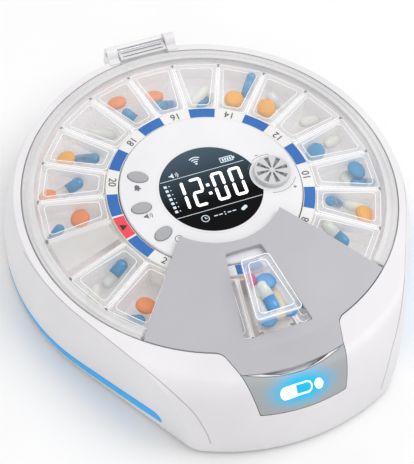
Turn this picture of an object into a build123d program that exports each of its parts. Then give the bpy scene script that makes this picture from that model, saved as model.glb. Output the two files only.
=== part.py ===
from build123d import *
from math import atan2, cos, degrees, hypot, pi, radians, sin, sqrt, tan
import os

# Automatic pill dispenser. Millimetres, +Z up, -Y is the front, and the origin is the point on the
# resting plane under the carousel's axis.

# ---- housing: outline, heights and walls
over = 1.0                 # cutters run this far past what they cut
tall = 80.0                # and those that go right through are this long
merge = 0.2                # blocks that are joined run this far into each other
foot_drop = 2.0            # feet stand this far below the housing's lower edge
mid_z = 20.0               # height of the flank's widest section
deck_z = 40.8              # flat deck
base_r = 102.4             # round back: lower edge, widest section, deck edge
mid_r = 103.5
deck_r = 98.5
flank_deg = -30.3          # where the straight flank leaves the round back, lower down
deck_flank_deg = -26.4     # and at the deck
nose_r = 111.0             # front face, an arc about nose_y
nose_y = -16.0
nose_corner = 14.0
dome_run = 17.9            # the nose rolls off to its front face over this length
dome_foot_z = 3.0
dome_share = 0.69          # the roll-off acts only in front of this share of deck_r
wall = 2.4
plate_t = 2.4              # bottom plate
fit_gap = 0.3              # between fixed pieces that drop into each other
run_gap = 0.6              # between pieces that move past each other
slide_gap = 0.25           # round buttons in their holes
bore_gap = 0.06            # radial, round shafts

# ---- carousel well
well_r = 90.2
well_wall = 2.2
well_floor_z = 22.5
well_floor_t = 2.0
seat_bench = 2.4           # left standing round the lid's seat

# ---- carousel, with its number ring and cups
places = 22
home_place = 0
dose_place = 5
pitch_deg = 360 / places
ring_z = 43.0              # top of the number ring
ring_t = 1.2
ring_in = 46.6
ring_out = 52.7
ring_seat_t = 2.0
ring_seat_lap = 0.2        # the drum's top flange reaches this far inside the number ring
drum_out = 52.9
drum_t = 2.4
drum_foot_z = 26.0
web_z = 31.5
web_t = 2.0
web_windows = 6
web_window_r = 5.0
web_window_out = 6.0       # from the middle of the web to their centres
boss_t = 3.5
bush_t = 2.5
bush_top_z = 35.4
bush_stand = 1.6           # the drum's boss starts this far above the bush's foot
blade_t = 2.4              # dividers between the cups
blade_end = 87.0
blade_foot_z = 30.0
blade_rise = 3.0           # their lower edge rises this much to the outer end
ledge_w = 1.4
ledge_root = 0.5           # the ledge runs this far into the drum
ledge_t = 2.0
ledge_gap = 0.2            # under the cups' flanges

cup_in = 53.4              # flange, along the cup's middle line
cup_out = 86.2
cup_drop = 3.2             # the flange falls this much from its inner to its outer end
cup_top_z = 41.8           # flange top at its inner end
cup_depth = 14.0
cup_wall = 1.2
cup_flange_t = 1.2
cup_flange_w = 1.7
cup_half_gap = 0.3         # from a cup's flange to the line between two places
cup_draft = 0.9            # the body narrows this much on each side down to its floor
cup_corner = 2.2
seat_gap = 0.05

# ---- centre post and control head
post_r = 16.0
post_bore = 12.0
post_flange_r = 26.0
post_flange_t = 2.0
tray_r = 45.4
tray_z = 36.6
tray_t = 1.6
tray_wall = 1.6
board_hole_r = 8.0
panel_r = 46.0
panel_z = 42.4
panel_top_z = 44.2
board_t = 1.2
display_r = 25.0
lens_r = 26.3
lens_t = 1.2
lens_gap = 0.1
display_gap = 0.2
panel_edge = 0.5           # chamfer round the panel
dial_x, dial_y = 32.4, -1.1
dial_r = 9.4
dial_h = 2.8
dial_lift = 0.4
dial_edge = 0.6
dial_spokes = 8
dial_spoke_deg = 12.0      # the first groove's turn
dial_groove_at = 0.6       # middle and length of a groove, as shares of dial_r
dial_groove_l = 0.62
dial_groove_w = 1.1
dial_groove_t = 0.7
dial_shaft_r = 3.0
dial_collar_r = 11.2
dial_collar_w = 1.2        # the display is cut away this much wider than the lens
encoder_w = 12.0
encoder_h = 2.8
encoder_floor = 0.4
encoder_gap = 0.2          # under the dial's shaft
oval_spots = {"bell_button": 150.0, "volume_button": 180.0, "clock_button": 209.0}
oval_at = 37.2
oval_l, oval_w = 10.3, 6.6
oval_rise = 0.8
oval_edge = 0.5
oval_travel = 0.8
oval_flange = 0.8
oval_flange_gap = 0.1
oval_flange_t = 1.0
switch_w = 5.0
switch_slack = 0.05

# ---- gear train of the carousel
gear_module = 1.0
pressure_deg = 20.0
addendum = 0.8             # stub teeth, in modules
gear_teeth = 60
pinion_teeth = 14
gear_z = 27.5
pinion_lift = 0.2
pinion_h = 3.2
backlash = 0.16
motor_r = 12.0
motor_z = 6.0
motor_h = 12.0
motor_shaft_r = 1.5

# ---- lid, its grey cover and the hinge at the back
lid_in = 54.4
lid_out = 94.4
lid_skirt_in = 91.0
lid_mid_r = 66.0           # the lid's top is an arc through three radii
lid_t = 1.8
lid_crown_z = 47.4         # heights of its top at cover_in, lid_mid_r and the rim
lid_mid_z = 44.6
lid_rim_z = 40.5
cover_lift = 0.6           # the cover stands this much above the clear lid
cover_in = 36.0
cover_in_x, cover_in_y = 26.5, -24.3
cover_out_x, cover_out_y = 64.2, -72.9
neck_back_x, neck_back_y = 30.3, -89.0
neck_front_x, neck_front_y = 26.3, -104.0
neck_r = 92.0              # its front edge, an arc about nose_y
neck_t = 2.2
neck_top_z = 41.1
neck_root_r = 7.0
window_in_y, window_out_y = -41.4, -87.4
window_in_half, window_out_half = 9.5, 17.9
window_corner = 1.2
neck_lap = 15.0            # the neck's plan runs this far into the lid's circle
cover_thin = 1.2           # skin left over the lift plate's neck
cover_room = 6.0           # height of the room cut under that skin
cover_room_back = 4.0      # that room starts this far inside the window
seat_z = 37.6
seat_out = 95.0
seat_t = 2.0
seal_t = 1.0
seal_w = 2.6
seal_inset = 0.4
seal_slot_gap = 2.0        # beside the lift's strap
hinge_y, hinge_z = 101.5, 41.5
hinge_half = 18.8
hinge_foot_z = 32.0
hinge_block_z = 28.0
hinge_inset = 1.8          # the hinge block starts this far outside the well's wall
ear_w = 5.4
knuckle_r = 3.6
knuckle_gap = 0.4
pin_r = 1.5
pin_inset = 0.5
leaf_t = 3.0
leaf_rise = 0.9            # leaf's top above the hinge axis

# ---- lift under the dose cup
lift_travel = 15.6
plate_lift_t = 1.2
plate_side_gap = 3.4       # from the place's edge line to the plate
strap_half = 7.0
strap_y, strap_t = -89.2, 2.0
strap_gap = 1.6
strap_lap = 4.0            # the plate's tail runs this far into the plate
nut_y = -97.6
nut_half = 8.0
nut_h = 5.6
nut_top_z = 34.0
tongue_w, tongue_t = 1.6, 2.4
screw_y = -94.4
screw_r = 2.0
screw_end_gap = 0.2
guide_wall = 2.6
guide_front_y = -97.4
guide_gap = 0.2            # from the well's wall to the guide
guide_bridge_t = 1.4
step_motor_r = 7.5
step_motor_h = 7.8
shaft_floor = 1.5          # motors are closed this far under their shafts

# ---- lit button at the front
press_deg = 43.0           # its surface leans forward this much, and it presses square to that
lit_foot_x, lit_foot_y = 22.0, -120.4
lit_foot_z = 27.7
lit_top_sag = 7.6
lit_foot_sag = 2.4
lit_corner = 1.6
lit_t = 3.0
lit_gap = 0.35
lit_travel = 1.5
lit_board_t = 1.2
lit_board_gap = 0.2
lit_board_inset = 1.5
lit_tray_t = 2.0
scoop_lip = 0.7
scoop_end = 6.0
scoop_depth = 2.6
scoop_edge = 0.2           # depth left where its floor meets the lit button
scoop_back = 2.0           # it runs this far under the cover's neck
lit_pin_r = 1.3
lit_pin_x = 17.0
lit_pin_l = 5.0
lit_pin_root = 2.0         # they start this far in front of the press plane, inside the button
lit_hole_l = 20.0
lit_column_half = 40.0     # the button's plan is swept this far each way

# ---- light strips on the flanks
strip_y = (12.0, -44.0, -97.5)      # at the back, in the middle and at the front
strip_low_z = (7.2, 4.2, 7.2)
strip_high_z = (7.6, 9.5, 13.2)
strip_tip_r = 4.6          # rounding of its upper and lower corner at the front
strip_heel_r = 0.8
strip_deep = 1.2
strip_proud = 0.25
strip_gap = 0.12

# ---- under the base
foot_r, foot_t = 7.0, 3.2
foot_gap = 0.1
foot_wall = 1.4            # of the cup round a foot, and its roof
foot_roof = 1.6
foot_spots = [(-60, 55), (60, 55), (-50, -86), (50, -86)]
screw_head_r, screw_head_h = 2.8, 2.0
screw_core_r, screw_len = 1.4, 11.0
screw_deep = 0.4
screw_head_gap = 0.2
screw_slot_l, screw_slot_w, screw_slot_t = 2.6, 0.7, 0.8
screw_boss_r = 3.6
screw_spots = [(95.2, 34), (95.2, 146), (95.2, 200), (95.2, 340), (110.0, 291.5), (110.0, 248.5)]
cell_r, cell_l = 7.1, 49.2
cell_nub_r, cell_nub_l = 2.7, 1.2
cell_pitch = 14.7
spring_l = 4.6             # a spring, pressed by its cell
cells = 4
bay_back_y = 20.3
bay_wall = 1.4
bay_top_z = 19.9
contact_t = 0.5
contact_w = 9.0
spring_r, spring_tip_r = 3.4, 2.2
door_t = 1.8
door_gap = 0.4
door_barrel_r = 1.7
door_pin_r = 0.8
door_pin_l = 2.0
door_rim = 0.6             # its opening is this much wider than the bay's walls
door_back_lap = 3.0        # it reaches this far behind the bay
door_axis_in = 1.0         # its axis is this far inside the bay's front wall
door_ear_w, door_ear_half = 4.0, 3.5
door_ear_t = 1.6           # over the pin
door_notch_r, door_notch_t = 8.0, 0.8
main_board_l, main_board_w, main_board_t = 84.0, 26.0, 1.6
main_board_gap = 4.0       # from its front edge to the motor
main_board_z = 8.0
board_post_r = 2.6
board_post_x, board_post_y = 5.0, 4.0   # from the board's edges to its posts
speaker_side, speaker_y = 40.4, -12.0   # its middle, from the side of the base, and along
speaker_r, speaker_h = 15.0, 7.0
speaker_seat_w, speaker_seat_t = 2.0, 1.6
grille_hole_r = 1.1
grille_pitch = 4.0
grille_rings = 2


# ---- sizes worked out from the ones above
cell_z = foot_drop + door_t + fit_gap + cell_r
bay_front_y = bay_back_y - cells * cell_pitch
door_axis_y = bay_front_y - bay_wall + door_axis_in
bay_half = (cell_l + cell_nub_l + spring_l) / 2 + contact_t
door_half = bay_half + bay_wall + door_rim
door_axis_z = foot_drop + door_barrel_r
neck_floor_z = neck_top_z - neck_t - run_gap
lit_tray_depth = lit_t + lit_travel + lit_board_gap + lit_board_t
screw_head_z = foot_drop + screw_deep
guide_back_y = -well_r - well_wall - guide_gap
guide_top_z = seat_z - seat_t
speaker_z = foot_drop + plate_t + speaker_seat_t
bush_foot_z = well_floor_z + post_flange_t
flange_top = panel_z - oval_flange_gap
flange_foot = flange_top - oval_flange_t
deck_board_z = tray_z + tray_t
board_top = deck_board_z + board_t
boss_r = post_r + bore_gap + bush_t + boss_t
pinion_y = gear_module * (gear_teeth + pinion_teeth) / 2
main_board_y = pinion_y + motor_r + main_board_gap + main_board_w / 2
speaker_x = base_r - speaker_side
cup_slope_deg = degrees(atan2(cup_drop, cup_out - cup_in))
cup_len = hypot(cup_drop, cup_out - cup_in)
half_pitch = radians(pitch_deg / 2)


# ---- helpers
def spots(polar):
    return [(r * cos(radians(a)), r * sin(radians(a))) for r, a in polar]


def at_place(n, shape):
    """Turn a shape modelled at the front to place n; places count anticlockwise from the home place."""
    return Rot(0, 0, (n - dose_place) * pitch_deg) * shape


def ring(r_out, r_in, z0, z1):
    """Flat ring between two heights."""
    return Pos(0, 0, z0) * extrude(Circle(r_out) - Circle(r_in), z1 - z0)


def disc(r, z0, z1, x=0, y=0):
    return Pos(x, y, z0) * extrude(Circle(r), z1 - z0)


def block(x0, x1, y0, y1, z0, z1):
    return Pos(x0, y0, z0) * Box(x1 - x0, y1 - y0, z1 - z0, align=(Align.MIN, Align.MIN, Align.MIN))


def prism(points, z0, z1):
    return Pos(0, 0, z0) * extrude(make_face(Polyline(*points, close=True)), z1 - z0)


def outline(round_r, flank, z, inset=0.0):
    """Plan outline at one height: round back, straight flanks tangent to it and a curved nose."""
    back_r, front_r = round_r - inset, nose_r - inset
    out = Vector(cos(radians(flank)), sin(radians(flank)))
    along = Vector(out.Y, -out.X)
    from_nose = out * back_r - Vector(0, nose_y)
    b = from_nose.dot(along)
    run = -b + sqrt(b * b - from_nose.dot(from_nose) + front_r * front_r)
    start, corner = out * back_r, out * back_r + along * run
    start_l, corner_l = Vector(-start.X, start.Y), Vector(-corner.X, corner.Y)
    face = make_face([
        ThreePointArc(start, (0, back_r), start_l),
        Line(start_l, corner_l),
        ThreePointArc(corner_l, (0, nose_y - front_r), corner),
        Line(corner, start),
    ])
    ends = [v for v in face.vertices() if v.Y < nose_y - nose_r / 2]
    return Pos(0, 0, z) * fillet(ends, nose_corner - inset)


def nose_dome(inset=0.0):
    """The nose's roll-off, a quarter ellipse turned about the front arc's centre."""
    flat_r, drop = nose_r - dome_run, deck_z - dome_foot_z - inset
    run = dome_run - inset
    top_z = dome_foot_z + drop
    face = make_face([
        EllipticalCenterArc((flat_r, dome_foot_z), run, drop, start_angle=0, arc_size=90),
        Line((flat_r, top_z), (0, top_z)),
        Line((0, top_z), (0, 0)),
        Line((0, 0), (flat_r + run, 0)),
        Line((flat_r + run, 0), (flat_r + run, dome_foot_z)),
    ])
    return Pos(0, nose_y, 0) * revolve(Plane.XZ * face, Axis.Z)


def housing_form(inset=0.0, foot_z=foot_drop):
    """The outer form of the housing, or the same form drawn in all round."""
    flanks = loft([
        outline(base_r, flank_deg, foot_z, inset),
        outline(mid_r, flank_deg, mid_z, inset),
        outline(deck_r, deck_flank_deg, deck_z, inset),
    ])
    back = block(-2 * mid_r, 2 * mid_r, -deck_r * dome_share, 2 * mid_r, 0, deck_z - inset)
    return flanks & (nose_dome(inset) + back)


def mirror_x(points):
    return [(-x, y) for x, y in reversed(points)]


def lid_profile(top_lift, r0, thick):
    """Section of the lid: an arched top with a skirt at its rim, for turning about Z."""
    tops = [(cover_in, lid_crown_z + top_lift), (lid_mid_r, lid_mid_z + top_lift), (lid_out, lid_rim_z + top_lift)]
    top = ThreePointArc(*tops)
    under = ThreePointArc(*[(r, z - thick) for r, z in tops])
    face = make_face([top, Line(top @ 1, under @ 1), under, Line(under @ 0, top @ 0)])
    skirt_foot, skirt_top = seat_z + seal_t, tops[2][1] - thick / 2
    face += Pos((lid_skirt_in + lid_out) / 2, (skirt_foot + skirt_top) / 2) * Rectangle(
        lid_out - lid_skirt_in, skirt_top - skirt_foot)
    return face - Pos(r0 / 2, lid_mid_z) * Rectangle(r0, tall)


def cover_sector(z0, z1, grow=0.0):
    """Plan of the grey cover without its neck, as a block."""
    side_l = [(-cover_in_x - grow, cover_in_y), (-cover_out_x - grow, cover_out_y), (-cover_out_x, -nose_r)]
    inner = [(cover_in_x + grow, cover_in_y), (-cover_in_x - grow, cover_in_y)]
    fan = prism(side_l + mirror_x(side_l), z0, z1)
    return fan - disc(cover_in, z0, z1)


def neck_plan(round_r, grow=0.0):
    """Plan of the cover's neck with the lid's circle: it narrows to the front and ends in an arc."""
    slope = (neck_back_x - neck_front_x) / (neck_back_y - neck_front_y)
    back_y, tip_y = neck_back_y + neck_lap, nose_y - neck_r - grow - over
    half = lambda y: neck_front_x + slope * (y - neck_front_y) + grow
    plan = make_face(Polyline((-half(back_y), back_y), (half(back_y), back_y), (half(tip_y), tip_y),
                              (-half(tip_y), tip_y), close=True)) + Circle(round_r)
    roots = [v for v in plan.vertices() if abs(hypot(v.X, v.Y) - round_r) < 0.01 and v.Y < back_y]
    plan = fillet(roots, neck_root_r - grow)
    return plan & (Pos(0, nose_y) * Circle(neck_r + grow) + Circle(round_r))


# ---- lit button: plans square to its press direction
press_plane = Plane(origin=(0, (neck_front_y + lit_foot_y) / 2, (deck_z + lit_foot_z) / 2),
                    x_dir=(1, 0, 0), z_dir=(0, -sin(radians(press_deg)), cos(radians(press_deg))))
press_dir = -press_plane.z_dir


def lit_plan(grow=0.0):
    """The lit button's outline on its press plane: it narrows forward, and its top edge sags."""
    top = press_plane.to_local_coords(Vector(neck_front_x, neck_front_y, deck_z))
    foot = press_plane.to_local_coords(Vector(lit_foot_x, lit_foot_y, lit_foot_z))
    sag_y = press_plane.to_local_coords(Vector(0, neck_front_y - lit_top_sag, deck_z)).Y + grow
    slope = (top.X - foot.X) / (top.Y - foot.Y)
    top_y, foot_y = top.Y + grow, foot.Y - grow
    side = lambda y: foot.X + slope * (y - foot.Y) + grow * hypot(1, slope)
    top_x, foot_x = side(top_y), side(foot_y)
    face = make_face([
        ThreePointArc((-top_x, top_y), (0, sag_y), (top_x, top_y)),
        Line((top_x, top_y), (foot_x, foot_y)),
        ThreePointArc((foot_x, foot_y), (0, foot_y - lit_foot_sag), (-foot_x, foot_y)),
        Line((-foot_x, foot_y), (-top_x, top_y)),
    ])
    lower = [v for v in face.vertices() if v.Y < (top_y + foot_y) / 2]
    return press_plane * fillet(lower, lit_corner)


def lit_column(grow):
    return extrude(lit_plan(grow), lit_column_half, both=True)


def lit_shell(grow, near, far):
    """The part of the nose under the lit button's plan between two depths along the press direction."""
    form = housing_form()
    near_form, far_form = (Pos(*(press_dir * d)) * form for d in (near, far))
    return (near_form & lit_column(grow)) - far_form


# ---- cups, modelled at the front place
def cup_plane(down=0.0):
    """Plane of the cup's flange top, or below it; its origin is the flange's inner end."""
    tilt = Rot(cup_slope_deg, 0, 0)
    plane = Plane(Location((0, -cup_in, cup_top_z)) * tilt)
    return plane.offset(-down)


def cup_plan(inset, z_down):
    """Trapezoid of the cup at one depth, its corners rounded."""
    inner_half = cup_in * tan(half_pitch) - cup_half_gap - inset
    outer_half = cup_out * tan(half_pitch) - cup_half_gap - inset
    face = make_face(Polyline((-inner_half, -inset), (inner_half, -inset), (outer_half, -cup_len + inset),
                              (-outer_half, -cup_len + inset), close=True))
    return cup_plane(z_down) * fillet(face.vertices(), cup_corner)


def cup():
    """Clear cup: a flange all round and a body that narrows to its floor."""
    flange = extrude(cup_plan(0, 0), -cup_flange_t)
    body = loft([cup_plan(cup_flange_w, 0), cup_plan(cup_flange_w + cup_draft, cup_depth)])
    inner_inset = cup_flange_w + cup_wall
    hollow = loft([cup_plan(inner_inset, 0), cup_plan(inner_inset + cup_draft, cup_depth - cup_wall)])
    return flange + body - hollow


# ---- gears
def gear_face(teeth, backlash_half):
    """Stub involute gear, its flanks three-point arcs."""
    pitch_r = gear_module * teeth / 2
    pressure = radians(pressure_deg)
    base = pitch_r * cos(pressure)
    tip, root = pitch_r + addendum * gear_module, pitch_r - gear_module
    half = pi / 2 / teeth - backlash_half / pitch_r

    def flank(r):
        if r <= base:
            r = base
        a = sqrt((r / base) ** 2 - 1)
        return half + (tan(pressure) - pressure) - (a - atan2(a, 1))

    def point(r, turn):
        return (r * cos(turn), r * sin(turn))

    low = max(base, root)
    middle = (low + tip) / 2
    edges = []
    for k in range(teeth):
        turn = 2 * pi * k / teeth
        following = turn + 2 * pi / teeth
        edges.append(Line(point(root, turn - flank(low)), point(low, turn - flank(low))) if low > root else None)
        edges.append(ThreePointArc(point(low, turn - flank(low)), point(middle, turn - flank(middle)),
                                   point(tip, turn - flank(tip))))
        edges.append(Line(point(tip, turn - flank(tip)), point(tip, turn + flank(tip))))
        edges.append(ThreePointArc(point(tip, turn + flank(tip)), point(middle, turn + flank(middle)),
                                   point(low, turn + flank(low))))
        edges.append(Line(point(low, turn + flank(low)), point(root, turn + flank(low))) if low > root else None)
        edges.append(Line(point(root, turn + flank(low)), point(root, following - flank(low))))
    return make_face([e for e in edges if e])


# ---- base
def strip_band(grow, out, deep):
    """Both light strips: a slice of the flank's skin between two rising arcs, rounded off at the front."""
    back, mid, front = strip_y
    ys = (back + grow, mid, front - grow)
    low = ThreePointArc(*[(y, z - grow) for y, z in zip(ys, strip_low_z)])
    high = ThreePointArc(*[(y, z + grow) for y, z in zip(ys, strip_high_z)])
    side = make_face([low, high, Line(low @ 0, high @ 0), Line(low @ 1, high @ 1)])
    side = fillet(side.vertices().group_by(Axis.X)[0].sort_by(Axis.Y)[-1], strip_tip_r + grow)
    side = fillet(side.vertices().group_by(Axis.X)[0].sort_by(Axis.Y)[0], strip_heel_r + grow)
    skin = housing_form(-out) - housing_form(deep)
    return skin & extrude(Plane.YZ * side, 2 * mid_r, both=True)


def housing_and_well():
    """The outer housing and the well that hangs under the lid's seat, as two pieces."""
    form = housing_form()
    # what the inside leaves standing: the well, the lid's seat, bosses, tray, hinge block and neck floor
    keep = disc(well_r + well_wall, well_floor_z - well_floor_t, deck_z)
    keep += disc(seat_out + seat_bench, seat_z - seat_t, deck_z)
    for x, y in spots(screw_spots):
        keep += disc(screw_boss_r, foot_drop + plate_t, deck_z, x, y)
    keep += lit_shell(lit_gap + lit_tray_t, 0, lit_tray_depth + lit_tray_t)
    keep += block(-hinge_half, hinge_half, 0, hinge_y + knuckle_r, hinge_block_z, deck_z)
    keep += extrude(Pos(0, 0, neck_floor_z - seat_t) * neck_plan(seat_out, wall), deck_z - neck_floor_z + seat_t)
    shell = form - (housing_form(wall, foot_z=0) - keep)
    shell += block(-hinge_half, hinge_half, well_r + well_wall + hinge_inset, hinge_y, hinge_block_z, hinge_z)
    shell += block(-hinge_half, hinge_half, hinge_y, hinge_y + knuckle_r, hinge_foot_z, hinge_z)
    shell += Pos(0, hinge_y, hinge_z) * Rot(0, 90, 0) * Cylinder(knuckle_r, 2 * hinge_half)
    # the well, the lid's seat and the recess for the cover's neck
    shell -= disc(well_r, well_floor_z, tall)
    shell -= disc(seat_out, seat_z, tall)
    shell -= extrude(Pos(0, 0, neck_floor_z) * neck_plan(seat_out, fit_gap), tall)
    leaf_half = hinge_half - ear_w
    shell -= block(-leaf_half, leaf_half, seat_out - over, hinge_y + tall, hinge_z - knuckle_r - knuckle_gap, tall)
    shell -= Pos(0, hinge_y, hinge_z) * Rot(0, 90, 0) * Cylinder(pin_r, 2 * (hinge_half + over))
    # pocket for the lit button with its guide holes, and the finger scoop above it
    shell -= lit_column(lit_gap) - Pos(*(press_dir * lit_tray_depth)) * form
    shell -= lit_pins(lit_pin_r + bore_gap, lit_hole_l)
    shell -= scoop()
    # slots for the lift's nut and strap through the floor, the well's wall and the lid's seat
    nut_gap = nut_half + run_gap
    under_floor = well_floor_z - well_floor_t - over
    shell -= block(-nut_gap, nut_gap, guide_back_y - over, strap_y + strap_gap, under_floor, nut_top_z + run_gap)
    shell -= block(-strap_half - run_gap, strap_half + run_gap, guide_back_y - over, strap_y + strap_gap, nut_top_z,
                   ring_z)
    shell -= disc(motor_shaft_r + run_gap, under_floor, well_floor_z + over, 0, pinion_y)
    shell -= disc(post_bore, under_floor, well_floor_z + over)
    for x, y in spots(screw_spots):
        shell -= disc(screw_core_r, 0, screw_head_z + screw_head_h + screw_len + over, x, y)
    shell -= strip_band(strip_gap, over, strip_deep + strip_gap)
    well_zone = disc(well_r + well_wall, well_floor_z - well_floor_t, seat_z - seat_t)
    return shell - well_zone, shell & well_zone


def scoop():
    """Crescent finger recess at the neck's edge; its floor rises to the lit button's sagging edge."""
    corner = Vector(neck_front_x - scoop_end, neck_front_y - over)
    front_y, back_y = neck_front_y - lit_top_sag + scoop_lip, nose_y - neck_r
    front = ThreePointArc((-corner.X, corner.Y), (0, front_y), (corner.X, corner.Y))
    back = ThreePointArc((-corner.X, corner.Y), (0, back_y), (corner.X, corner.Y))
    floor_z, top_z, far_y = deck_z - scoop_depth, deck_z + over, back_y + scoop_back
    wedge = Plane.YZ * make_face(Polyline((far_y, floor_z), (back_y, floor_z), (front_y, deck_z - scoop_edge),
                                          (front_y, top_z), (far_y, top_z), close=True))
    return extrude(make_face([front, back]), tall) & extrude(wedge, corner.X, both=True)


def bottom_shell():
    plate = extrude(outline(base_r, flank_deg, foot_drop, wall + fit_gap), plate_t)
    top = foot_drop + plate_t
    plate += block(-bay_half - bay_wall, bay_half + bay_wall, bay_front_y - bay_wall, bay_back_y + bay_wall,
                   top, bay_top_z)
    plate -= block(-bay_half, bay_half, bay_front_y, bay_back_y, 0, bay_top_z + over)
    plate -= block(-door_half, door_half, door_axis_y - door_barrel_r - door_gap,
                   bay_back_y + door_back_lap + door_gap, 0, foot_drop + door_t + seat_gap)
    barrel_room = door_barrel_r + door_gap
    for side in (-1, 1):
        x0, x1 = sorted((side * door_half, side * (door_half + door_ear_w)))
        plate += block(x0, x1, door_axis_y - door_ear_half, door_axis_y + door_ear_half, top,
                       door_axis_z + door_pin_r + door_ear_t)
    plate -= block(-door_half, door_half, door_axis_y - barrel_room, door_axis_y + barrel_room, 0,
                   door_axis_z + barrel_room)
    plate -= Pos(0, door_axis_y, door_axis_z) * Rot(0, 90, 0) * Cylinder(door_pin_r + bore_gap,
                                                                         2 * (door_half + door_pin_l + fit_gap))
    for x, y in foot_spots:
        plate += disc(foot_r + foot_wall, top, foot_t + foot_roof, x, y)
        plate -= disc(foot_r, 0, foot_t, x, y)
    for x, y in spots(screw_spots):
        plate -= disc(screw_core_r, 0, top + over, x, y)
        plate -= disc(screw_head_r, 0, screw_head_z + screw_head_h, x, y)
    plate += Pos(0, pinion_y, 0) * ring(motor_r, motor_r - wall, top, motor_z)
    post_x, post_y = main_board_l / 2 - board_post_x, main_board_w / 2 - board_post_y
    for x in (-post_x, post_x):
        for y in (main_board_y - post_y, main_board_y + post_y):
            plate += disc(board_post_r, top, main_board_z, x, y)
    plate += Pos(speaker_x, speaker_y, 0) * ring(speaker_r, speaker_r - speaker_seat_w, top, top + speaker_seat_t)
    plate -= disc(grille_hole_r, 0, top + over, speaker_x, speaker_y)
    for k in range(1, grille_rings + 1):
        for n in range(6 * k):
            a = 2 * pi * n / (6 * k)
            r = grille_pitch * k
            plate -= disc(grille_hole_r, 0, top + over, speaker_x + r * cos(a), speaker_y + r * sin(a))
    return plate


def battery_door():
    half = door_half - door_gap
    plate = block(-half, half, door_axis_y, bay_back_y + door_back_lap, foot_drop, foot_drop + door_t)
    barrel = Pos(0, door_axis_y, door_axis_z) * Rot(0, 90, 0) * Cylinder(door_barrel_r, 2 * half)
    pins = Pos(0, door_axis_y, door_axis_z) * Rot(0, 90, 0) * Cylinder(door_pin_r, 2 * (half + door_pin_l))
    notch = Pos(0, bay_back_y + door_back_lap, foot_drop) * Cylinder(door_notch_r, 2 * door_notch_t)
    return plate + barrel + pins - notch


def screws():
    out = []
    slot = Box(screw_slot_l, screw_slot_w, 2 * screw_slot_t) + Box(screw_slot_w, screw_slot_l, 2 * screw_slot_t)
    for x, y in spots(screw_spots):
        neck_z = screw_head_z + screw_head_h
        head = disc(screw_head_r - screw_head_gap, screw_head_z, neck_z, x, y)
        shank = disc(screw_core_r, neck_z, neck_z + screw_len, x, y)
        out.append(head + shank - Pos(x, y, screw_head_z) * slot)
    return Compound(out)


def feet():
    return Compound([disc(foot_r - foot_gap, 0, foot_t, x, y) for x, y in foot_spots])


def batteries():
    out = []
    for k in range(cells):
        y = bay_back_y - cell_pitch / 2 - k * cell_pitch
        turn = 1 if k % 2 else -1
        can = Cylinder(cell_r, cell_l)
        nub = Pos(0, 0, cell_l / 2 + cell_nub_l / 2) * Cylinder(cell_nub_r, cell_nub_l)
        push = bay_half - contact_t - cell_l / 2 - cell_nub_l
        out.append(Pos(turn * push, y, cell_z) * Rot(0, 90 * turn, 0) * (can + nub))
    return Compound(out)


def contacts():
    """Plate contacts at the cells' positive ends and coil springs' plates at the others."""
    out = []
    plate = Box(contact_t, contact_w, contact_w)
    for k in range(cells):
        y = bay_back_y - cell_pitch / 2 - k * cell_pitch
        turn = 1 if k % 2 else -1
        x = turn * (bay_half - contact_t / 2)
        out.append(Pos(x, y, cell_z) * plate)
        cone = Rot(0, 90 * turn, 0) * Cone(spring_r, spring_tip_r, spring_l)
        out.append(Pos(-x, y, cell_z) * plate + Pos(-turn * (bay_half - contact_t - spring_l / 2), y, cell_z) * cone)
    return Compound(out)


# ---- carousel and what rides on it
def carousel():
    body = ring(drum_out, ring_in - ring_seat_lap, ring_z - ring_t - ring_seat_t, ring_z - ring_t)
    body += ring(drum_out, drum_out - drum_t, drum_foot_z, ring_z - ring_t)
    body += ring(drum_out, boss_r - over, web_z, web_z + web_t)
    body += ring(boss_r, post_r + bore_gap + bush_t, bush_foot_z + bush_stand, bush_top_z)
    ledge_top = cup_top_z - cup_flange_t - ledge_w * cup_drop / (cup_out - cup_in) - ledge_gap
    body += ring(drum_out + ledge_w, drum_out - ledge_root, ledge_top - ledge_t, ledge_top)
    hole_at = (boss_r + drum_out - drum_t) / 2 + web_window_out
    for n in range(web_windows):
        body -= Rot(0, 0, 360 * n / web_windows) * disc(web_window_r, web_z - over, web_z + web_t + over, hole_at)
    return body


def cup_dividers(drum):
    """Blades seated on the drum between the places; the cups' flanges rest on their sloping tops."""
    fall = cup_drop / (cup_out - cup_in) * cos(half_pitch)
    start = drum_out - drum_t / 2
    top_in = cup_top_z - cup_flange_t / cos(radians(cup_slope_deg)) - seat_gap
    top = lambda r: top_in - fall * (r - cup_in / cos(half_pitch))
    side = Plane.YZ * make_face(Polyline((-start, blade_foot_z), (-start, top(start)), (-blade_end, top(blade_end)),
                                         (-blade_end, blade_foot_z + blade_rise), close=True))
    blade = extrude(side, blade_t / 2, both=True) - drum
    return Compound([at_place(n + 0.5, blade) for n in range(places)])


def carousel_gear():
    # a tooth points at +Y, and the pinion has a gap there
    face = Rot(0, 0, 90) * gear_face(gear_teeth, backlash / 2)
    return Pos(0, 0, gear_z) * extrude(face - Circle(boss_r), web_z - gear_z)


def drive_pinion():
    turn = -90 + 180 / pinion_teeth
    face = Rot(0, 0, turn) * gear_face(pinion_teeth, backlash / 2)
    gear = Pos(0, 0, gear_z + pinion_lift) * extrude(face, pinion_h)
    shaft = disc(motor_shaft_r, motor_z + shaft_floor, gear_z + pinion_lift + pinion_h)
    return Pos(0, pinion_y, 0) * (gear + shaft)


# ---- control head
def head_tray():
    tray = disc(tray_r, tray_z, panel_z) - disc(tray_r - tray_wall, tray_z + tray_t, tall)
    return tray - disc(post_bore, 0, tall)


def center_post():
    post = disc(post_r, well_floor_z, tray_z)
    post += disc(post_flange_r, well_floor_z, well_floor_z + post_flange_t)
    return post - disc(post_bore, 0, tall)


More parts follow.
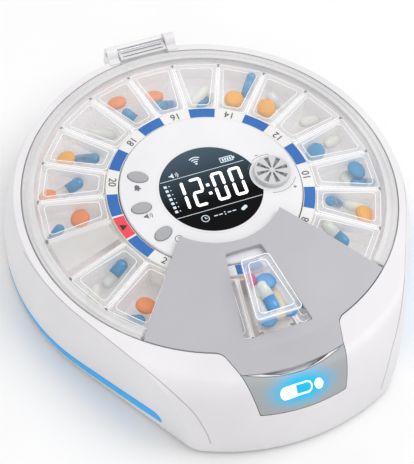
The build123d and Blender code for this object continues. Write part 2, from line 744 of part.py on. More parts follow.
def oval(l, w, z0, z1, degs, at=oval_at):
    face = make_face(Ellipse(l / 2, w / 2).edges())
    return Rot(0, 0, degs) * Pos(at, 0, z0) * extrude(face, z1 - z0)


def control_panel():
    panel = disc(panel_r, panel_z, panel_top_z)
    panel = chamfer(panel.edges().group_by(Axis.Z)[-1], panel_edge)
    window = disc(lens_r + lens_gap, panel_top_z - lens_t, tall)
    panel -= window - disc(dial_collar_r, 0, tall, dial_x, dial_y)
    through = disc(display_r + display_gap, 0, tall)
    panel -= through - disc(dial_collar_r + dial_collar_w, 0, tall, dial_x, dial_y)
    panel -= disc(dial_shaft_r + bore_gap, 0, tall, dial_x, dial_y)
    for degs in oval_spots.values():
        panel -= oval(oval_l + 2 * slide_gap, oval_w + 2 * slide_gap, 0, tall, degs)
    return panel


def lcd_lens():
    lens = disc(lens_r, panel_top_z - lens_t, panel_top_z)
    return lens - disc(dial_collar_r + lens_gap, 0, tall, dial_x, dial_y)


def lcd_module():
    module = disc(display_r, board_top, panel_top_z - lens_t)
    return module - disc(dial_collar_r + dial_collar_w + display_gap, 0, tall, dial_x, dial_y)


def panel_board():
    return ring(tray_r - tray_wall - fit_gap, board_hole_r, deck_board_z, board_top)


def dial():
    foot = panel_top_z + dial_lift
    knob = disc(dial_r, foot, foot + dial_h)
    knob = chamfer(knob.edges().group_by(Axis.Z)[-1], dial_edge)
    groove = Pos(dial_r * dial_groove_at, 0, foot + dial_h) * Box(dial_r * dial_groove_l, dial_groove_w,
                                                                  2 * dial_groove_t)
    for n in range(dial_spokes):
        knob -= Rot(0, 0, 360 * n / dial_spokes + dial_spoke_deg) * groove
    knob += disc(dial_shaft_r, board_top + encoder_floor + encoder_gap, foot)
    return Pos(dial_x, dial_y, 0) * knob


def dial_encoder():
    body = Pos(dial_x, dial_y, board_top) * Box(encoder_w, encoder_w, encoder_h,
                                               align=(Align.CENTER, Align.CENTER, Align.MIN))
    return body - disc(dial_shaft_r + bore_gap, board_top + encoder_floor, tall, dial_x, dial_y)


def oval_button(degs):
    top = panel_top_z + oval_rise
    cap = oval(oval_l, oval_w, flange_top, top, degs)
    cap = fillet(cap.edges().group_by(Axis.Z)[-1], oval_edge)
    flange = oval(oval_l + 2 * oval_flange, oval_w + 2 * oval_flange, flange_foot, flange_top, degs)
    return cap + flange


def button_switches():
    half, top = switch_w / 2, flange_foot - oval_travel - switch_slack
    switch = block(oval_at - half, oval_at + half, -half, half, board_top, top)
    return Compound([Rot(0, 0, degs) * switch for degs in oval_spots.values()])


# ---- lid
def lid_ring(lift, r0, thick):
    """The arched lid turned full circle, from r0 to its rim."""
    return revolve(Plane.XZ * lid_profile(lift, r0, thick), Axis.Z)


def lid():
    body = lid_ring(0, lid_in, lid_t) - cover_sector(0, tall)
    leaf_half = hinge_half - ear_w - knuckle_gap
    leaf_top = hinge_z + leaf_rise
    body += block(-leaf_half, leaf_half, lid_skirt_in, hinge_y, leaf_top - leaf_t, leaf_top)
    body += Pos(0, hinge_y, hinge_z) * Rot(0, 90, 0) * Cylinder(knuckle_r, 2 * leaf_half)
    return body - Pos(0, hinge_y, hinge_z) * Rot(0, 90, 0) * Cylinder(pin_r + bore_gap, 4 * hinge_half)


def lid_cover():
    body = lid_ring(cover_lift, cover_in, lid_t) & cover_sector(0, tall)
    neck = extrude(Pos(0, 0, neck_top_z - neck_t) * neck_plan(lid_out), neck_t) & cover_sector(0, tall)
    body += neck - disc(lid_skirt_in, 0, tall)
    half = [(window_in_half, window_in_y), (window_out_half, window_out_y)]
    frame = make_face(Polyline(*half, *mirror_x(half), close=True))
    body -= extrude(fillet(frame.vertices(), window_corner), tall)
    body -= lit_column(lit_gap)
    # thinned over the lift plate's neck, and open behind for its strap
    thin = lid_ring(cover_lift - cover_thin, cover_in, lid_t + cover_room)
    room = block(-strap_half - run_gap, strap_half + run_gap, strap_y - strap_t - run_gap,
                 window_out_y + cover_room_back, 0, tall)
    return body - (thin & room)


def lid_seal():
    seal = ring(lid_out - seal_inset, lid_out - seal_inset - seal_w, seat_z, seat_z + seal_t)
    half = strap_half + seal_slot_gap
    return seal - block(-half, half, -lid_out, -lid_skirt_in + over, 0, tall)


# ---- dose lift
def lift_carriage():
    floor = cup_depth
    raised = Location((0, 0, lift_travel))
    # the plate clears the drum's ledge, which it passes on its way down
    plate_in = drum_out + ledge_w + run_gap
    plan_in = plate_in * tan(half_pitch) - plate_side_gap
    plan_out = cup_out * tan(half_pitch) - plate_side_gap
    lean = (floor + seat_gap + plate_lift_t) * sin(radians(cup_slope_deg))
    run_in = (plate_in - cup_in + lean) / cos(radians(cup_slope_deg))
    tail = (-strap_y + strap_t - cup_in) / cos(radians(cup_slope_deg))
    pan = make_face(Polyline((-plan_in, -run_in), (plan_in, -run_in), (plan_out, -cup_len), (-plan_out, -cup_len),
                             close=True))
    pan += Pos(0, -(cup_len + tail) / 2) * Rectangle(2 * strap_half, tail - cup_len + 2 * strap_lap)
    plate = extrude(cup_plane(floor + seat_gap) * pan, -plate_lift_t).moved(raised)
    plate &= block(-tall, tall, strap_y - strap_t, 0, 0, tall)
    strap_top = plate.bounding_box().min.Z + plate_lift_t / 2
    body = plate + block(-strap_half, strap_half, strap_y - strap_t, strap_y, nut_top_z - nut_h, strap_top)
    body += block(-nut_half, nut_half, nut_y, strap_y - strap_t + merge, nut_top_z - nut_h, nut_top_z)
    tongue_y = (nut_y + strap_y - strap_t) / 2
    body += block(-nut_half - tongue_w, nut_half + tongue_w, tongue_y - tongue_t / 2, tongue_y + tongue_t / 2,
                  nut_top_z - nut_h, nut_top_z)
    return body - disc(screw_r + bore_gap, 0, tall, 0, screw_y)


def lift_screw():
    return disc(screw_r, foot_drop + plate_t + shaft_floor, guide_top_z - screw_end_gap, 0, screw_y)


def lift_motor():
    foot = foot_drop + plate_t
    motor = disc(step_motor_r, foot, foot + step_motor_h, 0, screw_y)
    return motor - disc(screw_r + bore_gap, foot + shaft_floor, tall, 0, screw_y)


def lift_guide():
    foot = foot_drop + plate_t
    inner = nut_half + slide_gap
    legs = block(-inner - guide_wall, inner + guide_wall, guide_front_y, guide_back_y, foot, guide_top_z)
    legs -= block(-inner, inner, guide_front_y - over, guide_back_y + over, 0, guide_top_z - guide_bridge_t)
    tongue_y = (nut_y + strap_y - strap_t) / 2
    groove_half = inner + tongue_w
    legs -= block(-groove_half, groove_half, tongue_y - tongue_t / 2 - slide_gap, tongue_y + tongue_t / 2 + slide_gap,
                  foot + step_motor_h, guide_top_z - guide_bridge_t)
    return legs - disc(screw_r + bore_gap, 0, tall, 0, screw_y)


# ---- lit button
def lit_pins(r, length):
    """Guide pins behind the lit button, along its press direction."""
    pins = Compound([Pos(x, 0, 0) * extrude(Circle(r), -length) for x in (-lit_pin_x, lit_pin_x)])
    start = press_plane.origin - press_dir * lit_pin_root
    return Plane(origin=start, x_dir=(1, 0, 0), z_dir=-press_dir) * pins


def lit_button():
    return lit_shell(0, 0, lit_t) + lit_pins(lit_pin_r, lit_pin_l)


def lit_board():
    near = lit_t + lit_travel + lit_board_gap
    return lit_shell(-lit_board_inset, near, near + lit_board_t) - lit_pins(lit_pin_r + bore_gap, lit_hole_l)


# ---- write every sub-part
def parts():
    outer, well = housing_and_well()
    drum = carousel()
    out = {
        "bottom_shell": bottom_shell(),
        "housing": outer,
        "carousel_well": well,
        "rubber_feet": feet(),
        "base_screws": screws(),
        "batteries": batteries(),
        "battery_contacts": contacts(),
        "battery_door": battery_door(),
        "main_board": block(-main_board_l / 2, main_board_l / 2, main_board_y - main_board_w / 2,
                            main_board_y + main_board_w / 2, main_board_z, main_board_z + main_board_t),
        "speaker": disc(speaker_r, speaker_z, speaker_z + speaker_h, speaker_x, speaker_y),
        "carousel_motor": disc(motor_r, motor_z, motor_z + motor_h, 0, pinion_y) - disc(
            motor_shaft_r + bore_gap, motor_z + shaft_floor, tall, 0, pinion_y),
        "drive_pinion": drive_pinion(),
        "center_post": center_post(),
        "head_tray": head_tray(),
        "control_panel": control_panel(),
        "lcd_lens": lcd_lens(),
        "lcd_module": lcd_module(),
        "panel_board": panel_board(),
        "button_switches": button_switches(),
        "dial": dial(),
        "dial_encoder": dial_encoder(),
        "carousel": drum,
        "cup_dividers": cup_dividers(drum),
        "carousel_bush": ring(post_r + bore_gap + bush_t, post_r + bore_gap, bush_foot_z, bush_top_z),
        "carousel_gear": carousel_gear(),
        "number_ring": ring(ring_out, ring_in, ring_z - ring_t, ring_z),
        "lift_carriage": lift_carriage(),
        "lift_screw": lift_screw(),
        "lift_motor": lift_motor(),
        "lift_guide": lift_guide(),
        "lit_button": lit_button(),
        "lit_board": lit_board(),
        "lid": lid(),
        "lid_cover": lid_cover(),
        "lid_seal": lid_seal(),
        "hinge_pin": Pos(0, hinge_y, hinge_z) * Rot(0, 90, 0) * Cylinder(pin_r, 2 * (hinge_half - pin_inset)),
    }
    for name, degs in oval_spots.items():
        out[name] = oval_button(degs)
    strips = strip_band(0, strip_proud, strip_deep)
    for solid in strips.solids():
        out["light_strip_left" if solid.center().X < 0 else "light_strip_right"] = solid
    one_cup = cup()
    for n in range(places):
        if n not in (home_place, dose_place):
            out[f"cup_{n:02d}"] = at_place(n, one_cup)
    out["dose_cup"] = Pos(0, 0, lift_travel) * one_cup
    return out


os.makedirs("parts", exist_ok=True)
for name, shape in parts().items():
    export_step(shape, f"parts/{name}.step")
    print(name, round(shape.volume, 1), "mm3,", len(shape.solids()), "solid(s)")
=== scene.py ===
import bpy, bmesh, random
from math import sin, cos, tan, atan2, pi, radians, sqrt, hypot
from mathutils import Vector, Matrix


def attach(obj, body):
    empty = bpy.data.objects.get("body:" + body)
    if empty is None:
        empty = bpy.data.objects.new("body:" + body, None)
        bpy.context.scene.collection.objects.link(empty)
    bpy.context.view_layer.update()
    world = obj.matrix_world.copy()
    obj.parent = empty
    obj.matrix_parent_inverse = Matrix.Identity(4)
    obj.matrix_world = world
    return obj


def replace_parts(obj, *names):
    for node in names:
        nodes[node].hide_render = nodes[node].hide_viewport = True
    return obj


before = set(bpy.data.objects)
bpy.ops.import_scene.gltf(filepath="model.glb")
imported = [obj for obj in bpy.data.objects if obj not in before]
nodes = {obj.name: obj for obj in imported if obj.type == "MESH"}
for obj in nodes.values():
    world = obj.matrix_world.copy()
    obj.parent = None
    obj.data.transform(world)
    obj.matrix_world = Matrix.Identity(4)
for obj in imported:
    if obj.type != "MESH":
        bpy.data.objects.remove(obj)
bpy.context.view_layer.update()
scene = bpy.context.scene
mm = 0.001
print("loaded", len(nodes), "nodes")

# places are counted anticlockwise from the home place; place 5 is at the front
ring = dict(places=22, home=0, dose=5, top=43.0, inner=46.6, outer=52.7)
head = dict(panelTop=44.2, lensR=26.3, dialX=32.4, dialY=-1.1)
cupShape = dict(inner=53.4, outer=86.2, topZ=41.8, drop=3.2, depth=14.0, wall=1.2, edge=1.7, draft=0.9, lift=15.6)
nose = dict(centreY=-16.0, flatR=93.1, run=17.9, footZ=3.0, drop=37.8)
lidArc = [(36.0, 47.4), (66.0, 44.6), (94.4, 40.5)]


def placeAngle(n):
    return radians(-90 + (n - ring["dose"]) * 360 / ring["places"])


def rgb(r, g, b):
    return tuple(((c / 255) / 12.92 if c <= 10 else ((c / 255 + 0.055) / 1.055) ** 2.4) for c in (r, g, b))


def circleThrough(points):
    (x1, y1), (x2, y2), (x3, y3) = points
    d = 2 * (x1 * (y2 - y3) + x2 * (y3 - y1) + x3 * (y1 - y2))
    a, b, c = x1 * x1 + y1 * y1, x2 * x2 + y2 * y2, x3 * x3 + y3 * y3
    cx = (a * (y2 - y3) + b * (y3 - y1) + c * (y1 - y2)) / d
    cy = (a * (x3 - x2) + b * (x1 - x3) + c * (x2 - x1)) / d
    return cx, cy, hypot(x1 - cx, y1 - cy)


arcX, arcZ, arcR = circleThrough(lidArc)


def lidZ(r):
    return arcZ + sqrt(arcR * arcR - (r - arcX) ** 2)


def noseZ(x, y):
    q = min(1.0, max(0.0, (hypot(x, y - nose["centreY"]) - nose["flatR"]) / nose["run"]))
    return nose["footZ"] + nose["drop"] * sqrt(1 - q * q)


def cupTopZ(r):
    return cupShape["topZ"] - cupShape["drop"] * (r - cupShape["inner"]) / (cupShape["outer"] - cupShape["inner"])


def socketOf(group, kind, name, way, value=None):
    s = group.interface.new_socket(name=name, in_out=way, socket_type=kind)
    if value is not None:
        s.default_value = value
    return s


def mouldGrainGroup():
    g = bpy.data.node_groups.new("mouldGrain", "ShaderNodeTree")
    socketOf(g, "NodeSocketVector", "Vector", "INPUT")
    socketOf(g, "NodeSocketFloat", "Grain Scale", "INPUT", 900.0)
    socketOf(g, "NodeSocketFloat", "Cloud Scale", "INPUT", 18.0)
    socketOf(g, "NodeSocketFloat", "Dust", "INPUT", 0.3)
    socketOf(g, "NodeSocketFloat", "Height", "OUTPUT")
    socketOf(g, "NodeSocketFloat", "Tone", "OUTPUT")
    socketOf(g, "NodeSocketFloat", "Gloss", "OUTPUT")
    n, l = g.nodes, g.links
    gi, go = n.new("NodeGroupInput"), n.new("NodeGroupOutput")
    fine, cloud, smear, specks = (n.new("ShaderNodeTexNoise") for _ in range(4))
    fine.inputs["Detail"].default_value = 2
    cloud.inputs["Detail"].default_value = 3
    smear.inputs["Detail"].default_value = 4
    smear.inputs["Distortion"].default_value = 1.2
    specks.inputs["Scale"].default_value = 2600
    smear.inputs["Scale"].default_value = 46
    for t in (fine, cloud, smear, specks):
        l.new(gi.outputs["Vector"], t.inputs["Vector"])
    l.new(gi.outputs["Grain Scale"], fine.inputs["Scale"])
    l.new(gi.outputs["Cloud Scale"], cloud.inputs["Scale"])
    pick = n.new("ShaderNodeMapRange")
    pick.inputs["From Min"].default_value = 0.68
    pick.inputs["From Max"].default_value = 0.76
    l.new(specks.outputs["Fac"], pick.inputs["Value"])
    dust = n.new("ShaderNodeMath")
    dust.operation = "MULTIPLY"
    l.new(pick.outputs["Result"], dust.inputs[0])
    l.new(gi.outputs["Dust"], dust.inputs[1])
    tone = n.new("ShaderNodeMath")
    tone.operation = "SUBTRACT"
    l.new(cloud.outputs["Fac"], tone.inputs[0])
    l.new(dust.outputs[0], tone.inputs[1])
    gloss = n.new("ShaderNodeMath")
    gloss.operation = "ADD"
    l.new(smear.outputs["Fac"], gloss.inputs[0])
    l.new(dust.outputs[0], gloss.inputs[1])
    l.new(fine.outputs["Fac"], go.inputs["Height"])
    l.new(tone.outputs[0], go.inputs["Tone"])
    l.new(gloss.outputs[0], go.inputs["Gloss"])
    return g


mouldGrain = mouldGrainGroup()


def newMaterial(name):
    m = bpy.data.materials.new(name)
    m.use_nodes = True
    bsdf = m.node_tree.nodes["Principled BSDF"]
    return m, m.node_tree.nodes, m.node_tree.links, bsdf


def addGrain(m, nodesOf, links, bsdf, f):
    coord = nodesOf.new("ShaderNodeTexCoord")
    grain = nodesOf.new("ShaderNodeGroup")
    grain.node_tree = mouldGrain
    links.new(coord.outputs["Object"], grain.inputs["Vector"])
    grain.inputs["Grain Scale"].default_value = f.get("grainScale", 900)
    grain.inputs["Cloud Scale"].default_value = f.get("cloudScale", 18)
    grain.inputs["Dust"].default_value = f.get("dust", 0.3)
    rough = nodesOf.new("ShaderNodeMapRange")
    rough.inputs["From Min"].default_value = 0.3
    rough.inputs["From Max"].default_value = 0.8
    rough.inputs["To Min"].default_value = f["rough"][0]
    rough.inputs["To Max"].default_value = f["rough"][1]
    links.new(grain.outputs["Gloss"], rough.inputs["Value"])
    links.new(rough.outputs["Result"], bsdf.inputs["Roughness"])
    bump = nodesOf.new("ShaderNodeBump")
    bump.inputs["Strength"].default_value = f.get("bump", 0.12)
    bump.inputs["Distance"].default_value = f.get("bumpDepth", 0.00004)
    links.new(grain.outputs["Height"], bump.inputs["Height"])
    links.new(bump.outputs["Normal"], bsdf.inputs["Normal"])
    return coord, grain, bump


def blendColours(nodesOf, links, factor, a, b):
    mix = nodesOf.new("ShaderNodeMix")
    mix.data_type = "RGBA"
    mix.inputs["A"].default_value = (*a, 1)
    mix.inputs["B"].default_value = (*b, 1)
    links.new(factor, mix.inputs["Factor"])
    return mix.outputs["Result"]


def moulded(name, f):
    m, n, l, bsdf = newMaterial(name)
    coord, grain, bump = addGrain(m, n, l, bsdf, f)
    span = n.new("ShaderNodeMapRange")
    span.inputs["From Min"].default_value = 0.3
    span.inputs["From Max"].default_value = 0.7
    l.new(grain.outputs["Tone"], span.inputs["Value"])
    l.new(blendColours(n, l, span.outputs["Result"], f["shade"], f["colour"]), bsdf.inputs["Base Color"])
    bsdf.inputs["Specular IOR Level"].default_value = f.get("specular", 0.5)
    bsdf.inputs["Metallic"].default_value = f.get("metallic", 0.0)
    bsdf.inputs["Coat Weight"].default_value = f.get("coat", 0.0)
    bsdf.inputs["Coat Roughness"].default_value = f.get("coatRough", 0.15)
    # a glow setting makes the surface give off its own colour: painted light on a part that is no lamp
    bsdf.inputs["Emission Color"].default_value = (*f["colour"], 1)
    bsdf.inputs["Emission Strength"].default_value = f.get("glow", 0.0)
    return m


def clear(name, f):
    m, n, l, bsdf = newMaterial(name)
    coord, grain, bump = addGrain(m, n, l, bsdf, f)
    span = n.new("ShaderNodeMapRange")
    span.inputs["From Min"].default_value = 0.3
    span.inputs["From Max"].default_value = 0.7
    l.new(grain.outputs["Tone"], span.inputs["Value"])
    l.new(blendColours(n, l, span.outputs["Result"], f["shade"], f["colour"]), bsdf.inputs["Base Color"])
    facing = n.new("ShaderNodeLayerWeight")
    facing.inputs["Blend"].default_value = f.get("blend", 0.5)
    veil = n.new("ShaderNodeMapRange")
    veil.inputs["To Min"].default_value = f["alpha"][0]
    veil.inputs["To Max"].default_value = f["alpha"][1]
    l.new(facing.outputs["Facing"], veil.inputs["Value"])
    cloud = n.new("ShaderNodeMath")
    cloud.operation = "MULTIPLY_ADD"
    cloud.inputs[1].default_value = f.get("mottle", 0.06)
    l.new(grain.outputs["Tone"], cloud.inputs[0])
    l.new(veil.outputs["Result"], cloud.inputs[2])
    cloud.use_clamp = True
    l.new(cloud.outputs[0], bsdf.inputs["Alpha"])
    bsdf.inputs["Specular IOR Level"].default_value = f.get("specular", 0.5)
    # a glow setting makes the surface give off its own colour: painted light on a part that is no lamp
    bsdf.inputs["Emission Color"].default_value = (*f["colour"], 1)
    bsdf.inputs["Emission Strength"].default_value = f.get("glow", 0.0)
    return m


finish = dict(
    whiteShell=moulded("whiteShell", dict(colour=rgb(238, 236, 238), shade=rgb(228, 226, 229), rough=(0.34, 0.46),
                                          grainScale=1100, bump=0.10, dust=0.1, coat=0.15, coatRough=0.3)),
    headWhite=moulded("headWhite", dict(colour=rgb(242, 241, 243), shade=rgb(232, 231, 234), rough=(0.36, 0.5),
                                        grainScale=1500, bump=0.08, dust=0.1)),
    coverGrey=moulded("coverGrey", dict(colour=rgb(190, 189, 194), shade=rgb(184, 183, 188), rough=(0.42, 0.54),
                                        grainScale=1300, bump=0.1, dust=0.1, specular=0.35)),
    buttonGrey=moulded("buttonGrey", dict(colour=rgb(178, 179, 182), shade=rgb(168, 169, 172), rough=(0.4, 0.55),
                                          grainScale=2200, bump=0.16)),
    dialGrey=moulded("dialGrey", dict(colour=rgb(214, 215, 217), shade=rgb(202, 203, 206), rough=(0.28, 0.42),
                                      grainScale=1800, bump=0.12)),
    # a darker grey for the dial's groove floors: painted shade in the grooves
    dialPaintedShade=moulded("dialPaintedShade", dict(colour=rgb(160, 161, 163), shade=rgb(142, 143, 146), rough=(0.4, 0.55),
                                        grainScale=1800, bump=0.12)),
    # a grey for the thin strip along the deck's crease: painted shade
    creaseShadeGrey=moulded("creaseShadeGrey", dict(colour=rgb(198, 195, 201), shade=rgb(188, 185, 192), rough=(0.5, 0.6),
                                      grainScale=1800, bump=0.08)),
    innerCream=moulded("innerCream", dict(colour=rgb(236, 232, 224), shade=rgb(226, 221, 211), rough=(0.42, 0.58),
                                          grainScale=800, bump=0.16)),
    # innerWhite also glows faintly in its own colour: painted light that lifts the shaded well and dividers under the
    # lid
    innerWhite=moulded("innerWhite", dict(colour=rgb(246, 242, 242), shade=rgb(238, 233, 233), rough=(0.4, 0.55),
                                          grainScale=900, bump=0.12, glow=0.1)),
    gearAcetal=moulded("gearAcetal", dict(colour=rgb(222, 216, 196), shade=rgb(205, 198, 176), rough=(0.25, 0.4),
                                          grainScale=700, bump=0.1)),
    printBlue=moulded("printBlue", dict(colour=rgb(47, 116, 192), shade=rgb(36, 100, 178), rough=(0.42, 0.56),
                                        grainScale=1600, bump=0.14)),
    printRed=moulded("printRed", dict(colour=rgb(248, 76, 92), shade=rgb(236, 62, 80), rough=(0.42, 0.56),
                                      grainScale=1600, bump=0.14)),
    printWhite=moulded("printWhite", dict(colour=rgb(243, 242, 241), shade=rgb(234, 233, 232), rough=(0.45, 0.6),
                                          grainScale=1600, bump=0.1)),
    # a grey for printed icons, also used for the dark strips of painted shade on the hinge
    printAndShadeGrey=moulded("printAndShadeGrey", dict(colour=rgb(120, 122, 128), shade=rgb(100, 102, 108), rough=(0.5, 0.65),
                                        grainScale=2000, bump=0.1)),
    printDark=moulded("printDark", dict(colour=rgb(58, 40, 48), shade=rgb(44, 30, 38), rough=(0.5, 0.65),
                                        grainScale=2000, bump=0.1)),
    numeralGrey=moulded("numeralGrey", dict(colour=rgb(92, 94, 100), shade=rgb(76, 78, 84), rough=(0.5, 0.65),
                                            grainScale=2000, bump=0.1)),
    blackMoulded=moulded("blackMoulded", dict(colour=rgb(34, 34, 36), shade=rgb(22, 22, 24), rough=(0.45, 0.6),
                                              grainScale=1200, bump=0.2)),
    rubberDark=moulded("rubberDark", dict(colour=rgb(50, 50, 52), shade=rgb(34, 34, 36), rough=(0.7, 0.85),
                                          grainScale=600, bump=0.4)),
    sealMilk=moulded("sealMilk", dict(colour=rgb(214, 214, 214), shade=rgb(198, 198, 198), rough=(0.55, 0.7),
                                      grainScale=900, bump=0.2)),
    zincSteel=moulded("zincSteel", dict(colour=rgb(190, 192, 196), shade=rgb(150, 152, 158), rough=(0.22, 0.4),
                                        grainScale=500, bump=0.1, metallic=1.0)),
    boardGreen=moulded("boardGreen", dict(colour=rgb(20, 92, 52), shade=rgb(14, 70, 40), rough=(0.3, 0.42),
                                          grainScale=400, bump=0.08)),
    cellWrap=moulded("cellWrap", dict(colour=rgb(52, 56, 64), shade=rgb(40, 42, 48), rough=(0.25, 0.4),
                                      grainScale=300, bump=0.06, metallic=0.4)),
    clearLid=clear("clearLid", dict(colour=rgb(244, 246, 248), shade=rgb(236, 239, 242), rough=(0.07, 0.2),
                                    alpha=(0.01, 0.42), blend=0.28, mottle=0.02, bump=0.05, grainScale=300,
                                    specular=0.6)),
    # milkRim glows faintly: painted light on the lid rim band and the hinge plate
    milkRim=clear("milkRim", dict(colour=rgb(236, 235, 235), shade=rgb(224, 223, 224), rough=(0.25, 0.4),
                                  alpha=(0.42, 0.9), blend=0.4, mottle=0.1, bump=0.1, grainScale=500, glow=0.1)),
    # frostCup and frostDose glow faintly in their own colour: painted light that brightens the cups in place of light
    # scattered inside them
    frostCup=clear("frostCup", dict(colour=rgb(250, 251, 252), shade=rgb(242, 244, 246), rough=(0.25, 0.45),
                                    alpha=(0.03, 0.5), blend=0.38, mottle=0.06, bump=0.14, grainScale=900, glow=0.12)),
    frostDose=clear("frostDose", dict(colour=rgb(246, 248, 252), shade=rgb(236, 239, 245), rough=(0.2, 0.38),
                                      alpha=(0.10, 0.62), blend=0.45, mottle=0.1, bump=0.14, grainScale=900, glow=0.1)),
    # rimBead is nearly opaque and glows: a painted highlight on the cup rims
    rimBead=clear("rimBead", dict(colour=rgb(250, 251, 252), shade=rgb(240, 242, 244), rough=(0.15, 0.3),
                                  alpha=(0.75, 1.0), blend=0.4, mottle=0.05, bump=0.05, grainScale=900, glow=0.22)),
    capsuleClear=moulded("capsuleClear", dict(colour=rgb(226, 230, 226), shade=rgb(210, 215, 212), rough=(0.12, 0.2),
                                              grainScale=500, bump=0.05, coat=0.6, coatRough=0.06)),
    capsuleBlue=moulded("capsuleBlue", dict(colour=rgb(0, 144, 196), shade=rgb(0, 126, 180), rough=(0.12, 0.2),
                                            grainScale=500, bump=0.05, coat=0.6, coatRough=0.06)),
    capsuleSky=moulded("capsuleSky", dict(colour=rgb(92, 164, 228), shade=rgb(78, 150, 216), rough=(0.12, 0.2),
                                          grainScale=500, bump=0.05, coat=0.6, coatRough=0.06)),
    tabletOrange=moulded("tabletOrange", dict(colour=rgb(248, 146, 74), shade=rgb(240, 134, 64), rough=(0.5, 0.65),
                                              grainScale=1400, bump=0.5, bumpDepth=0.00006)),
    tabletYellow=moulded("tabletYellow", dict(colour=rgb(250, 176, 50), shade=rgb(242, 164, 42), rough=(0.5, 0.65),
                                              grainScale=1400, bump=0.5, bumpDepth=0.00006)),
    tabletWhite=moulded("tabletWhite", dict(colour=rgb(234, 234, 226), shade=rgb(222, 222, 214), rough=(0.5, 0.65),
                                            grainScale=1400, bump=0.5, bumpDepth=0.00006)),
    tabletBlue=moulded("tabletBlue", dict(colour=rgb(40, 152, 204), shade=rgb(30, 138, 190), rough=(0.45, 0.6),
                                          grainScale=1400, bump=0.4, bumpDepth=0.00006)),
    tabletSky=moulded("tabletSky", dict(colour=rgb(118, 176, 224), shade=rgb(104, 162, 214), rough=(0.45, 0.6),
                                        grainScale=1400, bump=0.4, bumpDepth=0.00006)),
    tabletPink=moulded("tabletPink", dict(colour=rgb(212, 110, 156), shade=rgb(200, 98, 144), rough=(0.45, 0.6),
                                          grainScale=1400, bump=0.4, bumpDepth=0.00006)),
    tabletCream=moulded("tabletCream", dict(colour=rgb(246, 232, 206), shade=rgb(238, 220, 190), rough=(0.5, 0.65),
                                            grainScale=1400, bump=0.5, bumpDepth=0.00006)),
)


def displayGlass():
    m, n, l, bsdf = newMaterial("displayGlass")
    coord, grain, bump = addGrain(m, n, l, bsdf, dict(rough=(0.22, 0.34), grainScale=1500, bump=0.02, dust=0.2))
    # the lens runs from near black at the bottom to a lighter blue-grey at the top: a painted reflection on the glass
    split = n.new("ShaderNodeSeparateXYZ")
    l.new(coord.outputs["Object"], split.inputs["Vector"])
    rise = n.new("ShaderNodeMapRange")
    rise.inputs["From Min"].default_value = -0.006
    rise.inputs["From Max"].default_value = 0.026
    l.new(split.outputs["Y"], rise.inputs["Value"])
    l.new(blendColours(n, l, rise.outputs["Result"], rgb(2, 2, 4), rgb(74, 92, 106)), bsdf.inputs["Base Color"])
    bsdf.inputs["Specular IOR Level"].default_value = 0.12
    return m


def glowing(name, colour, strength, tint=None):
    m, n, l, bsdf = newMaterial(name)
    coord, grain, bump = addGrain(m, n, l, bsdf, dict(rough=(0.3, 0.45), grainScale=1200, bump=0.05))
    span = n.new("ShaderNodeMapRange")
    span.inputs["From Min"].default_value = 0.3
    span.inputs["From Max"].default_value = 0.7
    l.new(grain.outputs["Tone"], span.inputs["Value"])
    low = tuple(c * 0.86 for c in colour)
    colours = blendColours(n, l, span.outputs["Result"], low, colour)
    l.new(colours, bsdf.inputs["Emission Color"])
    l.new(blendColours(n, l, span.outputs["Result"], low, tint or colour), bsdf.inputs["Base Color"])
    bsdf.inputs["Emission Strength"].default_value = strength
    return m


def litButtonFinish(f):
    m, n, l, bsdf = newMaterial("litButtonFinish")
    coord, grain, bump = addGrain(m, n, l, bsdf, dict(rough=(0.36, 0.5), grainScale=1300, bump=0.12))
    place = n.new("ShaderNodeMapping")
    place.vector_type = "POINT"
    place.inputs["Location"].default_value = [-c * mm for c in f["centre"]]
    l.new(coord.outputs["Object"], place.inputs["Vector"])
    shape = n.new("ShaderNodeVectorMath")
    shape.operation = "DIVIDE"
    shape.inputs[1].default_value = [c * mm for c in f["reach"]]
    l.new(place.outputs["Vector"], shape.inputs[0])
    far = n.new("ShaderNodeVectorMath")
    far.operation = "LENGTH"
    l.new(shape.outputs["Vector"], far.inputs[0])
    glow = n.new("ShaderNodeMapRange")
    glow.interpolation_type = "SMOOTHSTEP"
    glow.inputs["From Min"].default_value = 1.0
    glow.inputs["From Max"].default_value = 0.25
    l.new(far.outputs["Value"], glow.inputs["Value"])
    l.new(blendColours(n, l, glow.outputs["Result"], f["body"], f["blue"]), bsdf.inputs["Base Color"])
    l.new(blendColours(n, l, glow.outputs["Result"], (0, 0, 0), f["blue"]), bsdf.inputs["Emission Color"])
    bsdf.inputs["Emission Strength"].default_value = f["strength"]
    return m


finish["displayGlass"] = displayGlass()
finish["segmentWhite"] = glowing("segmentWhite", rgb(250, 252, 255), 0.9)
finish["iconWhite"] = glowing("iconWhite", rgb(190, 205, 214), 0.5)
finish["stripBlue"] = glowing("stripBlue", rgb(0, 150, 214), 0.4)
finish["markGlow"] = glowing("markGlow", rgb(240, 252, 255), 0.8)
finish["litButton"] = litButtonFinish(dict(centre=(-0.5, -117.4, 36.2), reach=(23.0, 11.5, 12.0), body=rgb(170, 173, 176),
                                           blue=rgb(0, 168, 214), strength=0.42))
print("finishes", len(finish))


def pieceFrom(name, verts, faces, materials=(), smooth=False, indices=None, weld=True):
    mesh = bpy.data.meshes.new(name)
    mesh.from_pydata([[c * mm for c in v] for v in verts], [], faces)
    for m in materials:
        mesh.materials.append(m)
    if indices:
        mesh.polygons.foreach_set("material_index", indices)
    obj = bpy.data.objects.new(name, mesh)
    scene.collection.objects.link(obj)
    bm = bmesh.new()
    bm.from_mesh(mesh)
    if weld:
        bmesh.ops.remove_doubles(bm, verts=bm.verts, dist=1e-7)
    bmesh.ops.recalc_face_normals(bm, faces=bm.faces)
    bm.to_mesh(mesh)
    bm.free()
    if smooth:
        mesh.shade_smooth()
    return obj


